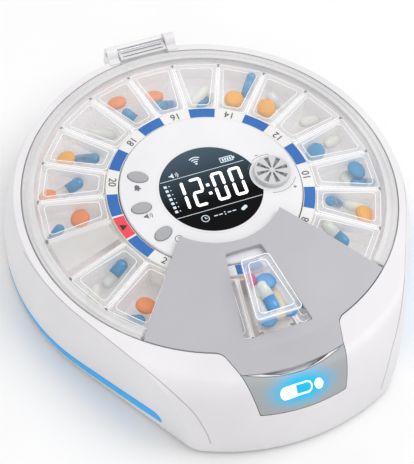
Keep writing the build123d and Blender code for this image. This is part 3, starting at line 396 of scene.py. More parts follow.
def slabs(shapes, z0, z1):
    verts, faces = [], []
    for outline in shapes:
        k, n = len(verts), len(outline)
        low, high = z0, z1
        verts += [(x, y, low(x, y) if callable(low) else low) for x, y in outline]
        verts += [(x, y, high(x, y) if callable(high) else high) for x, y in outline]
        faces.append([k + i for i in reversed(range(n))])
        faces.append([k + n + i for i in range(n)])
        faces += [[k + i, k + (i + 1) % n, k + n + (i + 1) % n, k + n + i] for i in range(n)]
    return verts, faces


def sector(r0, r1, a0, a1, steps=10):
    angles = [a0 + (a1 - a0) * i / steps for i in range(steps + 1)]
    return [(r1 * cos(a), r1 * sin(a)) for a in angles] + [(r0 * cos(a), r0 * sin(a)) for a in reversed(angles)]


def turned(points, angle, x=0, y=0):
    c, s = cos(angle), sin(angle)
    return [(x + px * c - py * s, y + px * s + py * c) for px, py in points]


def discOutline(r, x=0, y=0, steps=24):
    return [(x + r * cos(2 * pi * i / steps), y + r * sin(2 * pi * i / steps)) for i in range(steps)]


def pillOutline(halfL, halfW, x=0, y=0, angle=0, steps=8):
    ends = [(halfL - halfW + halfW * cos(a), halfW * sin(a)) for a in
            [-pi / 2 + pi * i / steps for i in range(steps + 1)]]
    ends += [(-px, -py) for px, py in ends]
    return turned(ends, angle, x, y)


def arcBand(r, w, a0, a1, x=0, y=0, steps=12):
    return [(px + x, py + y) for px, py in sector(r - w / 2, r + w / 2, a0, a1, steps)]


def revolve(name, profile, steps, materials, smooth=True, closed=False):
    verts, faces = [], []
    n = len(profile)
    for i in range(steps):
        a = 2 * pi * i / steps
        verts += [(r * cos(a), r * sin(a), z) for r, z in profile]
    for i in range(steps):
        j = (i + 1) % steps
        for k in range(n if closed else n - 1):
            q = (k + 1) % n
            faces.append([i * n + k, j * n + k, j * n + q, i * n + q])
    return pieceFrom(name, verts, faces, materials, smooth)


def joined(name, parts, materials, body):
    verts, faces, ids = [], [], []
    for (v, f), m in parts:
        k = len(verts)
        verts += v
        faces += [[i + k for i in q] for q in f]
        ids += [m] * len(f)
    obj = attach(pieceFrom(name, verts, faces, materials, indices=ids, weld=False), body)
    return obj


def geoTree(name, sizes):
    tree = bpy.data.node_groups.new(name, "GeometryNodeTree")
    tree.interface.new_socket(name="Geometry", in_out="INPUT", socket_type="NodeSocketGeometry")
    for key, (kind, value) in sizes.items():
        s = tree.interface.new_socket(name=key, in_out="INPUT", socket_type=kind)
        s.default_value = value
    tree.interface.new_socket(name="Geometry", in_out="OUTPUT", socket_type="NodeSocketGeometry")
    return tree, tree.nodes.new("NodeGroupInput"), tree.nodes.new("NodeGroupOutput")


def grown(name, tree, values, body, smooth=False):
    holder = bpy.data.objects.new(name + "Source", bpy.data.meshes.new(name + "Source"))
    scene.collection.objects.link(holder)
    mod = holder.modifiers.new("grow", "NODES")
    mod.node_group = tree
    for item in tree.interface.items_tree:
        if item.item_type == "SOCKET" and item.in_out == "INPUT" and item.name in values:
            mod[item.identifier] = values[item.name]
    holder.update_tag()
    bpy.context.view_layer.update()
    graph = bpy.context.evaluated_depsgraph_get()
    mesh = bpy.data.meshes.new_from_object(holder.evaluated_get(graph), preserve_all_data_layers=True, depsgraph=graph)
    obj = bpy.data.objects.new(name, mesh)
    mesh.name = name
    scene.collection.objects.link(obj)
    bpy.data.objects.remove(holder)
    if smooth:
        mesh.shade_smooth()
    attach(obj, body)
    return obj


def link(tree, a, b):
    tree.links.new(a, b)


def mathNode(tree, op, a, b=None):
    n = tree.nodes.new("ShaderNodeMath")
    n.operation = op
    for i, v in enumerate((a, b)):
        if v is None:
            continue
        if isinstance(v, (int, float)):
            n.inputs[i].default_value = v
        else:
            link(tree, v, n.inputs[i])
    return n.outputs[0]


def ringOfBlocks(material):
    sizes = {"Count": ("NodeSocketInt", 22), "Radius": ("NodeSocketFloat", 0.05), "Length": ("NodeSocketFloat", 0.004),
             "Width": ("NodeSocketFloat", 0.002), "Height": ("NodeSocketFloat", 0.001),
             "Centre Z": ("NodeSocketFloat", 0.04), "Start": ("NodeSocketFloat", 0.0)}
    tree, gi, go = geoTree("ringOfBlocks" + material.name, sizes)
    line = tree.nodes.new("GeometryNodeMeshLine")
    link(tree, gi.outputs["Count"], line.inputs["Count"])
    line.inputs["Offset"].default_value = (0, 0, 0)
    index = tree.nodes.new("GeometryNodeInputIndex").outputs[0]
    step = mathNode(tree, "DIVIDE", 2 * pi, gi.outputs["Count"])
    angle = mathNode(tree, "ADD", mathNode(tree, "MULTIPLY", index, step), gi.outputs["Start"])
    where = tree.nodes.new("ShaderNodeCombineXYZ")
    link(tree, mathNode(tree, "MULTIPLY", mathNode(tree, "COSINE", angle), gi.outputs["Radius"]), where.inputs["X"])
    link(tree, mathNode(tree, "MULTIPLY", mathNode(tree, "SINE", angle), gi.outputs["Radius"]), where.inputs["Y"])
    link(tree, gi.outputs["Centre Z"], where.inputs["Z"])
    move = tree.nodes.new("GeometryNodeSetPosition")
    link(tree, line.outputs["Mesh"], move.inputs["Geometry"])
    link(tree, where.outputs[0], move.inputs["Position"])
    size = tree.nodes.new("ShaderNodeCombineXYZ")
    for key, axis in (("Length", "X"), ("Width", "Y"), ("Height", "Z")):
        link(tree, gi.outputs[key], size.inputs[axis])
    cube = tree.nodes.new("GeometryNodeMeshCube")
    link(tree, size.outputs[0], cube.inputs["Size"])
    turn = tree.nodes.new("ShaderNodeCombineXYZ")
    link(tree, angle, turn.inputs["Z"])
    put = tree.nodes.new("GeometryNodeInstanceOnPoints")
    link(tree, move.outputs["Geometry"], put.inputs["Points"])
    link(tree, cube.outputs["Mesh"], put.inputs["Instance"])
    link(tree, turn.outputs[0], put.inputs["Rotation"])
    real = tree.nodes.new("GeometryNodeRealizeInstances")
    link(tree, put.outputs["Instances"], real.inputs["Geometry"])
    paint = tree.nodes.new("GeometryNodeSetMaterial")
    paint.inputs["Material"].default_value = material
    link(tree, real.outputs["Geometry"], paint.inputs["Geometry"])
    link(tree, paint.outputs["Geometry"], go.inputs["Geometry"])
    return tree


nodeFinish = dict(
    housing="whiteShell", bottom_shell="whiteShell", battery_door="whiteShell", control_panel="headWhite",
    bell_button="buttonGrey", volume_button="buttonGrey", clock_button="buttonGrey", dial="dialGrey",
    lid="clearLid", lid_cover="coverGrey", lid_seal="sealMilk", lcd_lens="displayGlass", lcd_module="blackMoulded",
    number_ring="printWhite", carousel_well="innerWhite", cup_dividers="innerWhite", carousel="innerCream",
    center_post="innerCream", head_tray="innerCream",
    lift_carriage="innerCream", lift_guide="innerCream", carousel_bush="gearAcetal", carousel_gear="gearAcetal",
    drive_pinion="gearAcetal", rubber_feet="rubberDark", base_screws="zincSteel", hinge_pin="zincSteel",
    lift_screw="zincSteel", battery_contacts="zincSteel", carousel_motor="zincSteel", lift_motor="zincSteel",
    batteries="cellWrap", main_board="boardGreen", panel_board="boardGreen", lit_board="boardGreen",
    speaker="blackMoulded", dial_encoder="blackMoulded", button_switches="blackMoulded",
    light_strip_left="stripBlue", light_strip_right="stripBlue", lit_button="litButton", dose_cup="frostDose")
for key, obj in nodes.items():
    chosen = finish[nodeFinish.get(key, "frostCup")]
    if obj.data.materials:
        for i in range(len(obj.data.materials)):
            obj.material_slots[i].material = chosen
    else:
        obj.data.materials.append(chosen)
print("CAD nodes painted")


ringPrint = dict(blueHalf=7.55, whiteHalf=7.9, inner=46.9, outer=52.45, rise=0.12, numeral=5.4, numeralRise=0.18)


def numberRing(f):
    z0, z1 = ring["top"] - 0.02, ring["top"] + f["rise"]
    plates = []
    for n in range(ring["places"]):
        if n % 2 == 0 and n != ring["home"]:
            continue
        a, half = placeAngle(n), radians(f["blueHalf"])
        which = 1 if n == ring["home"] else 0
        plates.append((slabs([sector(f["inner"], f["outer"], a - half, a + half)], z0, z1), which))
    a = placeAngle(ring["home"])
    arrow = turned([(-1.9, 0), (1.5, 1.9), (1.5, -1.9)], a, 49.6 * cos(a), 49.6 * sin(a))
    plates.append((slabs([arrow], z1 - 0.01, z1 + 0.1), 2))
    joined("ringBlocks", plates, [finish["printBlue"], finish["printRed"], finish["printDark"]], "carousel")
    for n in range(2, ring["places"], 2):
        text = bpy.data.curves.new("numeral", "FONT")
        text.body = str(n)
        text.size = f["numeral"] * mm
        text.align_x, text.align_y = "CENTER", "CENTER"
        text.extrude = f["numeralRise"] * mm / 2
        holder = bpy.data.objects.new("numeralSource", text)
        scene.collection.objects.link(holder)
        bpy.context.view_layer.update()
        mesh = bpy.data.meshes.new_from_object(holder.evaluated_get(bpy.context.evaluated_depsgraph_get()))
        a = placeAngle(n)
        where = Matrix.Translation((49.7 * mm * cos(a), 49.7 * mm * sin(a), (ring["top"] + 0.06) * mm))
        mesh.transform(where @ Matrix.Rotation(a + pi / 2, 4, "Z"))
        bpy.data.objects.remove(holder)
        mesh.materials.clear()
        mesh.materials.append(finish["numeralGrey"])
        obj = bpy.data.objects.new(f"numeral_{n:02d}", mesh)
        scene.collection.objects.link(obj)
        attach(obj, "carousel")


numberRing(ringPrint)
print("number ring")


display = dict(digitH=17.6, digitW=6.6, stroke=1.55, slant=0.08, lineY=(11.2, -12.0), rise=0.06)
segments = {"0": "abcdef", "1": "bc", "2": "abged"}


def digitBars(char, x, f):
    h, w, t, cut = f["digitH"], f["digitW"], f["stroke"], 0.28
    rows = dict(a=h / 2 - t / 2, g=0.0, d=-h / 2 + t / 2)
    out = []
    for s in segments[char]:
        if s in rows:
            y, half = rows[s], w / 2 - cut - t * 0.1
            bar = [(-half, y), (-half + t / 2, y + t / 2), (half - t / 2, y + t / 2), (half, y),
                   (half - t / 2, y - t / 2), (-half + t / 2, y - t / 2)]
        else:
            cx = (w / 2 - t / 2) * (1 if s in "bc" else -1)
            y0, y1 = (cut, h / 2 - cut - t * 0.1) if s in "bf" else (-h / 2 + cut + t * 0.1, -cut)
            bar = [(cx, y0), (cx + t / 2, y0 + t / 2), (cx + t / 2, y1 - t / 2), (cx, y1), (cx - t / 2, y1 - t / 2),
                   (cx - t / 2, y0 + t / 2)]
        out.append([(x + px + py * f["slant"], py) for px, py in bar])
    return out


def boxOutline(x, y, w, h, angle=0):
    return turned([(-w / 2, -h / 2), (w / 2, -h / 2), (w / 2, h / 2), (-w / 2, h / 2)], angle, x, y)


def displayMarks(f):
    z0, z1 = head["panelTop"] - 0.02, head["panelTop"] + f["rise"]
    bright, dim = [], []
    for char, x in (("1", -16.4), ("2", -6.9), ("0", 4.9), ("0", 14.4)):
        bright += digitBars(char, x, f)
    bright += [boxOutline(-0.9, 2.6, 1.6, 1.6), boxOutline(-1.3, -2.6, 1.6, 1.6)]
    for y in f["lineY"]:
        half = sqrt(head["lensR"] ** 2 - y * y) - 0.6
        right = half if y < 0 else half - 1.2
        dim.append(boxOutline((right - half) / 2, y, right + half, 0.28))
    for i in range(3):
        dim.append(arcBand(1.7 + i * 1.35, 0.62, radians(52), radians(128), -1.3, 16.6))
    dim.append(discOutline(0.62, -1.3, 16.9, 12))
    dim += [boxOutline(14.0, 16.2, 6.6, 0.45), boxOutline(14.0, 13.4, 6.6, 0.45), boxOutline(10.8, 14.8, 0.45, 3.2),
            boxOutline(17.3, 14.8, 0.45, 3.2), boxOutline(18.0, 14.8, 0.8, 1.4)]
    dim += [boxOutline(12.2 + i * 1.3, 14.8, 0.85, 1.8) for i in range(4)]
    dim += [[(-17.6, 13.9), (-16.6, 13.9), (-15.2, 15.3), (-15.2, 11.9), (-16.6, 13.2), (-17.6, 13.2)]]
    dim += [arcBand(1.3 + i * 0.95, 0.4, radians(-42), radians(42), -15.0, 13.6, 8) for i in range(2)]
    # a small clock face and four dashes stand for the next dose's time
    dim += [arcBand(1.9, 0.42, 0, 2 * pi * 0.999, -9.6, -16.4, 28), boxOutline(-9.6, -15.9, 0.4, 1.3),
            boxOutline(-9.1, -16.5, 1.2, 0.4)]
    dim += [boxOutline(x, -16.4, 1.9, 0.55) for x in (-4.0, -1.4, 3.2, 5.8)]
    dim += [discOutline(0.36, 0.9, y, 10) for y in (-15.7, -17.1)]
    dim += [pillOutline(1.9, 0.9, 11.2, -16.4, 0.5)]
    joined("displayMarks", [(slabs(bright, z0, z1), 0), (slabs(dim, z0, z1), 1)],
           [finish["segmentWhite"], finish["iconWhite"]], "base")


def displayColumn(f):
    sizes = {"Count": ("NodeSocketInt", 8), "Step": ("NodeSocketFloat", 0.0023), "Side": ("NodeSocketFloat", 0.0014),
             "Height": ("NodeSocketFloat", 0.0001), "X": ("NodeSocketFloat", 0.0), "Y": ("NodeSocketFloat", 0.0),
             "Z": ("NodeSocketFloat", 0.0)}
    tree, gi, go = geoTree("displayColumn", sizes)
    line = tree.nodes.new("GeometryNodeMeshLine")
    link(tree, gi.outputs["Count"], line.inputs["Count"])
    down = tree.nodes.new("ShaderNodeCombineXYZ")
    link(tree, mathNode(tree, "MULTIPLY", gi.outputs["Step"], -1.0), down.inputs["Y"])
    link(tree, down.outputs[0], line.inputs["Offset"])
    start = tree.nodes.new("ShaderNodeCombineXYZ")
    for axis in "XYZ":
        link(tree, gi.outputs[axis], start.inputs[axis])
    link(tree, start.outputs[0], line.inputs["Start Location"])
    size = tree.nodes.new("ShaderNodeCombineXYZ")
    for axis, key in (("X", "Side"), ("Y", "Side"), ("Z", "Height")):
        link(tree, gi.outputs[key], size.inputs[axis])
    cube = tree.nodes.new("GeometryNodeMeshCube")
    link(tree, size.outputs[0], cube.inputs["Size"])
    put = tree.nodes.new("GeometryNodeInstanceOnPoints")
    link(tree, line.outputs["Mesh"], put.inputs["Points"])
    link(tree, cube.outputs["Mesh"], put.inputs["Instance"])
    real = tree.nodes.new("GeometryNodeRealizeInstances")
    link(tree, put.outputs["Instances"], real.inputs["Geometry"])
    paint = tree.nodes.new("GeometryNodeSetMaterial")
    paint.inputs["Material"].default_value = finish["iconWhite"]
    link(tree, real.outputs["Geometry"], paint.inputs["Geometry"])
    link(tree, paint.outputs["Geometry"], go.inputs["Geometry"])
    z = (head["panelTop"] + 0.02) * mm
    grown("displayDays", tree, {"Count": 7, "Step": 2.65 * mm, "Side": 1.5 * mm, "Height": 0.08 * mm, "X": -21.6 * mm,
                                "Y": 8.0 * mm, "Z": z}, "base")
    grown("displayTicks", tree, {"Count": 7, "Step": 2.65 * mm, "Side": 0.55 * mm, "Height": 0.08 * mm,
                                 "X": -19.6 * mm, "Y": 8.0 * mm, "Z": z}, "base")


displayMarks(display)
displayColumn(display)
print("display")


icons = dict(bell=(-34.9, 12.3), speaker=(-36.0, -5.6), clock=(-26.4, -23.4), rise=0.05)


def headPrints(f):
    z0, z1 = head["panelTop"] - 0.02, head["panelTop"] + f["rise"]
    marks = []
    bx, by = f["bell"]
    marks.append([(bx - 1.9, by - 1.2), (bx + 1.9, by - 1.2), (bx + 1.3, by - 0.3), (bx + 1.2, by + 1.0),
                  (bx + 0.5, by + 1.8), (bx - 0.5, by + 1.8), (bx - 1.2, by + 1.0), (bx - 1.3, by - 0.3)])
    marks.append(discOutline(0.5, bx, by - 1.6, 12))
    sx, sy = f["speaker"]
    marks.append([(sx - 1.9, sy + 0.6), (sx - 1.0, sy + 0.6), (sx + 0.3, sy + 1.7), (sx + 0.3, sy - 1.7),
                  (sx - 1.0, sy - 0.6), (sx - 1.9, sy - 0.6)])
    marks += [arcBand(1.3 + i * 0.9, 0.35, radians(-45), radians(45), sx + 0.2, sy, 8) for i in range(2)]
    cx, cy = f["clock"]
    marks += [arcBand(1.9, 0.36, 0, 2 * pi * 0.999, cx, cy, 28), boxOutline(cx, cy + 0.55, 0.34, 1.3),
              boxOutline(cx + 0.5, cy, 1.2, 0.34)]
    dx, dy = head["dialX"], head["dialY"]
    marks += [arcBand(12.1, 0.22, radians(74), radians(150), dx, dy, 24),
              arcBand(12.1, 0.22, radians(-110), radians(-30), dx, dy, 24)]
    mx, my = dx - 12.1 * cos(radians(58)), dy + 13.6 * sin(radians(72))
    marks.append(boxOutline(mx + 3.4, my, 1.8, 0.4))
    px, py = dx + 8.0, dy - 11.6
    marks += [boxOutline(px, py, 1.8, 0.4), boxOutline(px, py, 0.4, 1.8)]
    joined("headPrints", [(slabs(marks, z0, z1), 0)], [finish["printAndShadeGrey"]], "base")
    bezel = [(26.2, 44.15), (26.2, 44.32), (26.45, 44.42), (27.0, 44.42), (27.5, 44.3), (27.6, 44.1)]
    ringPiece = revolve("displayBezel", bezel, 120, [finish["headWhite"]])
    bm = bmesh.new()
    bm.from_mesh(ringPiece.data)
    away = [v for v in bm.verts if hypot(v.co.x / mm - head["dialX"], v.co.y / mm - head["dialY"]) < 11.3]
    bmesh.ops.delete(bm, geom=away, context="VERTS")
    bm.to_mesh(ringPiece.data)
    bm.free()
    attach(ringPiece, "base")


headPrints(icons)
print("control head prints")


dialShape = dict(r=9.3, foot=44.62, top=47.35, hub=1.7, blades=8, sunk=1.3, dish=0.55, rim=1.2, rings=32, per=192,
                 grooveWidth=0.16, grooveFlare=0.12, stemR=2.9, stemZ=40.1)


def dialKnob(f):
    verts, faces, ids = [], [], []
    rings, per, edge = f["rings"], f["per"], f["r"] - f["rim"]
    radii = [0.0001] + [f["r"] * i / (rings - 1) for i in range(1, rings)]

    def sunken(r, a):
        phase = (a * f["blades"] / (2 * pi)) % 1.0
        off = min(phase, 1 - phase) * 2 * pi * r / f["blades"]
        return f["hub"] < r < edge and off < f["grooveWidth"] + f["grooveFlare"] * r

    for r in radii:
        for k in range(per):
            a = 2 * pi * k / per
            z = f["top"] - f["dish"] * 0.5 * sin(pi * r / f["r"]) - (f["sunk"] if sunken(r, a) else 0)
            z -= 2.0 * max(0, r - f["r"] + 0.45) ** 2
            verts.append((head["dialX"] + r * cos(a), head["dialY"] + r * sin(a), z))
    for i in range(rings - 1):
        for k in range(per):
            j = (k + 1) % per
            faces.append([i * per + k, (i + 1) * per + k, (i + 1) * per + j, i * per + j])
            middle = (radii[i] + radii[i + 1]) / 2
            ids.append(1 if sunken(middle, 2 * pi * (k + 0.5) / per) else 0)
    base, n = (rings - 1) * per, len(verts)
    for z in (f["foot"] + 0.3, f["foot"]):
        for k in range(per):
            a = 2 * pi * k / per
            r = f["r"] + (0.06 if k % 4 < 2 else -0.06) - (0.2 if z == f["foot"] else 0)
            verts.append((head["dialX"] + r * cos(a), head["dialY"] + r * sin(a), z))
    for k in range(per):
        j = (k + 1) % per
        faces += [[base + k, n + k, n + j, base + j], [n + k, n + per + k, n + per + j, n + j]]
    faces += [[n + per + k for k in range(per)], list(reversed(range(per)))]
    ids += [0] * (2 * per + 2)
    stem, stemFaces = slabs([discOutline(f["stemR"], head["dialX"], head["dialY"], 32)], f["stemZ"], f["foot"] + 0.1)
    faces += [[len(verts) + i for i in q] for q in stemFaces]
    verts += stem
    ids += [0] * len(stemFaces)
    # the groove floors take the second, darker grey: painted shade in the sunken grooves
    knob = pieceFrom("dialKnob", verts, faces, [finish["dialGrey"], finish["dialPaintedShade"]], indices=ids, weld=False)
    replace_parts(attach(knob, "dial") or knob, "dial")


dialKnob(dialShape)
print("dial")


# thin raised beads along each cup's rim, partly the rims' real edges, in a white that glows: a painted highlight on the
# rims
rimBead = dict(width=0.3, inset=0.12, rise=0.16, corner=2.0)


def cupLoop(inset, corner=2.0, steps=5):
    half = pi / ring["places"]
    y0, y1 = cupShape["inner"] + inset, cupShape["outer"] - inset
    h0 = cupShape["inner"] * tan(half) - 0.3 - inset
    h1 = cupShape["outer"] * tan(half) - 0.3 - inset
    raw = [Vector((y0, -h0)), Vector((y1, -h1)), Vector((y1, h1)), Vector((y0, h0))]
    out = []
    for i, p in enumerate(raw):
        a, b = (raw[i - 1] - p).normalized(), (raw[(i + 1) % 4] - p).normalized()
        half2 = a.angle(b) / 2
        reach = corner / tan(half2)
        centre = p + (a + b).normalized() * (corner / sin(half2))
        s, e = p + a * reach - centre, p + b * reach - centre
        a0, a1 = atan2(s.y, s.x), atan2(e.y, e.x)
        while a1 < a0:
            a1 += 2 * pi
        for k in range(steps + 1):
            t = a0 + (a1 - a0) * k / steps
            out.append((centre.x + corner * cos(t), centre.y + corner * sin(t)))
    return out


def beadAround(inset, width, low, high, angle, lift=0.0, offsetZ=0.0):
    outer, inner = cupLoop(inset, 2.0), cupLoop(inset + width, 1.7)
    verts, faces = [], []
    n = len(outer)
    for loop, dz in ((outer, low), (outer, high), (inner, high), (inner, low)):
        for r, s in loop:
            x, y = turned([(r, s)], angle)[0]
            verts.append((x, y, cupTopZ(r) + dz + lift + offsetZ))
    for band in range(4):
        nxt = (band + 1) % 4
        faces += [[band * n + i, band * n + (i + 1) % n, nxt * n + (i + 1) % n, nxt * n + i] for i in range(n)]
    return verts, faces


def cupBeads(f):
    parts = []
    for n in range(ring["places"]):
        if n in (ring["home"], ring["dose"]):
            continue
        a = placeAngle(n)
        parts.append((beadAround(f["inset"], f["width"], -0.05, f["rise"], a), 0))
        parts.append((beadAround(2.75, 0.3, -0.05, 0.14, a), 0))
    joined("cupRimBeads", parts, [finish["rimBead"]], "carousel")
    a = placeAngle(ring["dose"])
    joined("doseRimBead", [(beadAround(f["inset"], f["width"], -0.05, f["rise"], a, cupShape["lift"]), 0),
                           (beadAround(2.75, 0.3, -0.05, 0.14, a, cupShape["lift"]), 0)],
           [finish["rimBead"]], "dose")


cupBeads(rimBead)
grown("dividerNotches", ringOfBlocks(finish["printAndShadeGrey"]),
      {"Count": ring["places"], "Radius": 86.4 * mm, "Length": 0.9 * mm, "Width": 1.3 * mm, "Height": 1.0 * mm,
       "Centre Z": 38.0 * mm, "Start": placeAngle(0.5)}, "carousel")
print("cup rims")


pillSizes = dict(capsule=(8.6, 3.1), small=(7.4, 2.7), oblong=(7.6, 2.9), round=(5.0, 2.3))


def pillMesh(kind):
    halfL, r = pillSizes[kind]
    steps = 20
    profile = []
    if kind in ("capsule", "small"):
        for i in range(9):
            a = pi / 2 * (1 - i / 8)
            profile.append((-halfL + r - r * sin(a), max(0.001, r * cos(a)), 0))
        profile += [(0.6, r, 0), (0.6, r * 0.94, 1), (halfL - r, r * 0.94, 1)]
        for i in range(1, 9):
            a = pi / 2 * i / 8
            profile.append((halfL - r + r * 0.94 * sin(a), max(0.001, r * 0.94 * cos(a)), 1))
    elif kind == "oblong":
        for i in range(17):
            a = pi * i / 16
            profile.append((-halfL * cos(a), max(0.001, r * sin(a) ** 0.55), 0))
    else:
        r, t = halfL, r
        for i in range(7):
            a = pi / 2 * (1 - i / 6)
            profile.append((-t * (0.45 + 0.55 * sin(a)), max(0.001, r * (0.94 * cos(a) ** 0.6)), 0))
        profile += [(-t * 0.4, r * 0.97, 0), (-t * 0.34, r, 0), (t * 0.34, r, 0), (t * 0.4, r * 0.97, 0)]
        for i in range(7):
            a = pi / 2 * i / 6
            profile.append((t * (0.45 + 0.55 * sin(a)), max(0.001, r * (0.94 * cos(a) ** 0.6)), 0))
    verts, faces, ids = [], [], []
    for x, q, side in profile:
        verts += [(x, q * cos(2 * pi * k / steps), q * sin(2 * pi * k / steps)) for k in range(steps)]
    for i in range(len(profile) - 1):
        for k in range(steps):
            j = (k + 1) % steps
            faces.append([i * steps + k, i * steps + j, (i + 1) * steps + j, (i + 1) * steps + k])
            ids.append(profile[i + 1][2] if profile[i][2] == profile[i + 1][2] else 1)
    faces.append([k for k in reversed(range(steps))])
    ids.append(profile[0][2])
    faces.append([(len(profile) - 1) * steps + k for k in range(steps)])
    ids.append(profile[-1][2])
    return verts, faces, ids


def addPill(name, kind, colours, n, along, across, turn, height, lean, lift=0.0, body="carousel"):
    verts, faces, ids = pillMesh(kind)
    floor = cupTopZ(along) - cupShape["depth"] + cupShape["wall"] + lift
    place = Matrix.Translation((along * mm, across * mm, (floor + height) * mm))
    spin = Matrix.Rotation(placeAngle(n), 4, "Z") @ place
    slope = Matrix.Rotation(atan2(cupShape["drop"], cupShape["outer"] - cupShape["inner"]), 4, "Y")
    pose = spin @ slope @ Matrix.Rotation(radians(turn), 4, "Z") @ Matrix.Rotation(radians(lean), 4, "Y")
    if kind == "round":
        pose = pose @ Matrix.Rotation(pi / 2, 4, "Y")
    obj = pieceFrom(name, verts, faces, [finish[c] for c in colours], True,
                    [min(i, len(colours) - 1) for i in ids], False)
    obj.data.transform(pose)
    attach(obj, body)


# place: (kind, colours, distance from the axis, sideways, turn, height of the middle, lean)
filling = {
    1: [("capsule", ("capsuleBlue", "capsuleClear"), 65.6, -2.0, 4, 4.9, 14),
        ("oblong", ("tabletWhite",), 83.0, 0.8, 29, 5.6, 20)],
    2: [("round", ("tabletOrange",), 70.8, 1.6, 0, 5.2, -22), ("small", ("capsuleBlue", "capsuleClear"), 80.5, -1.6, -65, 3.6, 8)],
    3: [("round", ("tabletWhite",), 70.0, 0.0, 0, 2.5, 0)],
    4: [("oblong", ("tabletWhite",), 72.0, 0.0, 20, 3.0, 0)],
    6: [("capsule", ("capsuleClear", "capsuleBlue"), 70.0, 0.0, 20, 3.2, 0)],
    7: [("capsule", ("capsuleClear", "capsuleSky"), 72.0, 4.0, -6, 3.4, 4)],
    8: [("capsule", ("capsuleClear", "capsuleBlue"), 65.5, 3.2, -20, 7.0, 10), ("round", ("tabletCream",), 66.0, -1.0, 0, 2.4, 0)],
    9: [("small", ("capsuleBlue", "capsuleSky"), 62.6, 3.2, 38, 8.0, 46), ("round", ("tabletYellow",), 78.7, 0.3, 0, 5.2, 20),
        ("oblong", ("tabletWhite",), 74.6, 5.4, -6, 3.6, 6)],
    10: [("round", ("tabletBlue",), 78.7, 4.6, 0, 7.4, 24), ("small", ("capsuleBlue",), 81.0, -1.2, 4, 3.4, 8),
         ("round", ("tabletWhite",), 75.0, 3.0, 0, 2.4, 0)],
    11: [("round", ("tabletBlue",), 64.2, 2.2, 0, 5.6, -30), ("oblong", ("tabletWhite",), 76.0, 4.4, 24, 6.0, 24)],
    12: [("oblong", ("tabletWhite",), 76.2, 0.4, -5, 5.6, 20)],
    13: [("round", ("tabletYellow",), 69.4, 2.3, 0, 5.4, -28), ("small", ("capsuleClear",), 74.5, -1.4, -105, 7.0, 14)],
    14: [("round", ("tabletYellow",), 68.9, 0.4, 0, 5.4, -14), ("small", ("capsuleBlue",), 79.0, -5.6, -13, 7.8, -56)],
    15: [("oblong", ("tabletWhite",), 67.6, -0.2, -45, 6.0, -14), ("small", ("capsuleBlue", "capsuleClear"), 67.5, -4.6, -54, 3.4, 6)],
    16: [("round", ("tabletOrange",), 73.9, 2.1, 0, 4.8, 18), ("small", ("capsuleBlue", "capsuleSky"), 66.5, -1.2, -83, 4.6, 20)],
    17: [("round", ("tabletOrange",), 79.4, -0.5, 0, 5.6, 24), ("small", ("capsuleBlue", "capsuleClear"), 65.0, -0.8, -158, 5.4, 24)],
    18: [("oblong", ("tabletWhite",), 70.0, -2.5, 30, 3.2, 0)],
    19: [("round", ("tabletYellow",), 77.5, 1.0, 0, 5.2, 20), ("small", ("capsuleBlue", "capsuleSky"), 67.6, -2.5, 3, 5.2, 20)],
    20: [("capsule", ("capsuleBlue", "capsuleClear"), 71.6, -1.4, 34, 5.0, 14), ("round", ("tabletOrange",), 81.0, 3.6, 0, 4.2, 0)],
    21: [("round", ("tabletOrange",), 66.3, -1.6, 0, 6.0, 20), ("small", ("capsuleBlue",), 81.0, 5.6, 37, 5.4, 22)],
}
for n, load in filling.items():
    for k, (kind, colours, along, across, turn, height, lean) in enumerate(load):
        addPill(f"pill_{n:02d}_{k + 1}", kind, colours, n, along, across, turn, height, lean)
dose = [("capsule", ("capsuleClear", "capsuleSky"), 72.5, -0.2, 8, 7.0, 6),
        ("round", ("tabletSky",), 64.6, 2.0, 0, 7.0, -24), ("small", ("tabletPink", "tabletWhite"), 64.5, -3.4, 12, 5.4, 0),
        ("oblong", ("tabletWhite",), 72.5, -4.2, 4, 3.0, 0), ("oblong", ("tabletCream",), 73.5, 4.6, 4, 3.2, 0),
        ("round", ("tabletWhite",), 66.5, 2.6, 0, 2.4, 0), ("round", ("tabletSky",), 80.2, -3.2, 0, 2.4, 0),
        ("small", ("tabletCream", "capsuleSky"), 80.6, 4.6, 84, 2.8, 0)]
for k, (kind, colours, along, across, turn, height, lean) in enumerate(dose):
    addPill(f"dosePill_{k + 1}", kind, colours, ring["dose"], along, across, turn, height, lean, cupShape["lift"], "dose")
print("tablets and capsules")


lidRim = dict(start=-47.5, stop=227.5, steps=240, thick=0.3,
              profile=((88.4, 0.02), (88.6, 0.26), (89.3, 0.26), (89.5, 0.06), (91.6, 0.06), (91.8, 0.3), (92.6, 0.3),
                       (92.8, 0.08), (93.6, 0.08), (93.8, 0.3), (94.3, 0.2)))


def lidTrim(f):
    band = [(r, lidZ(r) + up) for r, up in f["profile"]]
    verts, faces = [], []
    start, stop, steps = radians(f["start"]), radians(f["stop"]), f["steps"]
    n = len(band)
    for i in range(steps + 1):
        a = start + (stop - start) * i / steps
        verts += [(r * cos(a), r * sin(a), z) for r, z in band]
        verts += [(r * cos(a), r * sin(a), z - f["thick"]) for r, z in band]
    for i in range(steps):
        for k in range(n - 1):
            p, q = i * 2 * n + k, (i + 1) * 2 * n + k
            faces.append([p, q, q + 1, p + 1])
            faces.append([p + n + 1, q + n + 1, q + n, p + n])
        p, q = i * 2 * n, (i + 1) * 2 * n
        faces.append([p + n, q + n, q, p])
        faces.append([p + n - 1, q + n - 1, q + 2 * n - 1, p + 2 * n - 1])
    for e in (0, steps * 2 * n):
        faces.append([e + k for k in range(n)] + [e + n + k for k in reversed(range(n))])
    rim = pieceFrom("lidRimBand", verts, faces, [finish["milkRim"]], smooth=True)
    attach(rim, "lid")


lidTrim(lidRim)


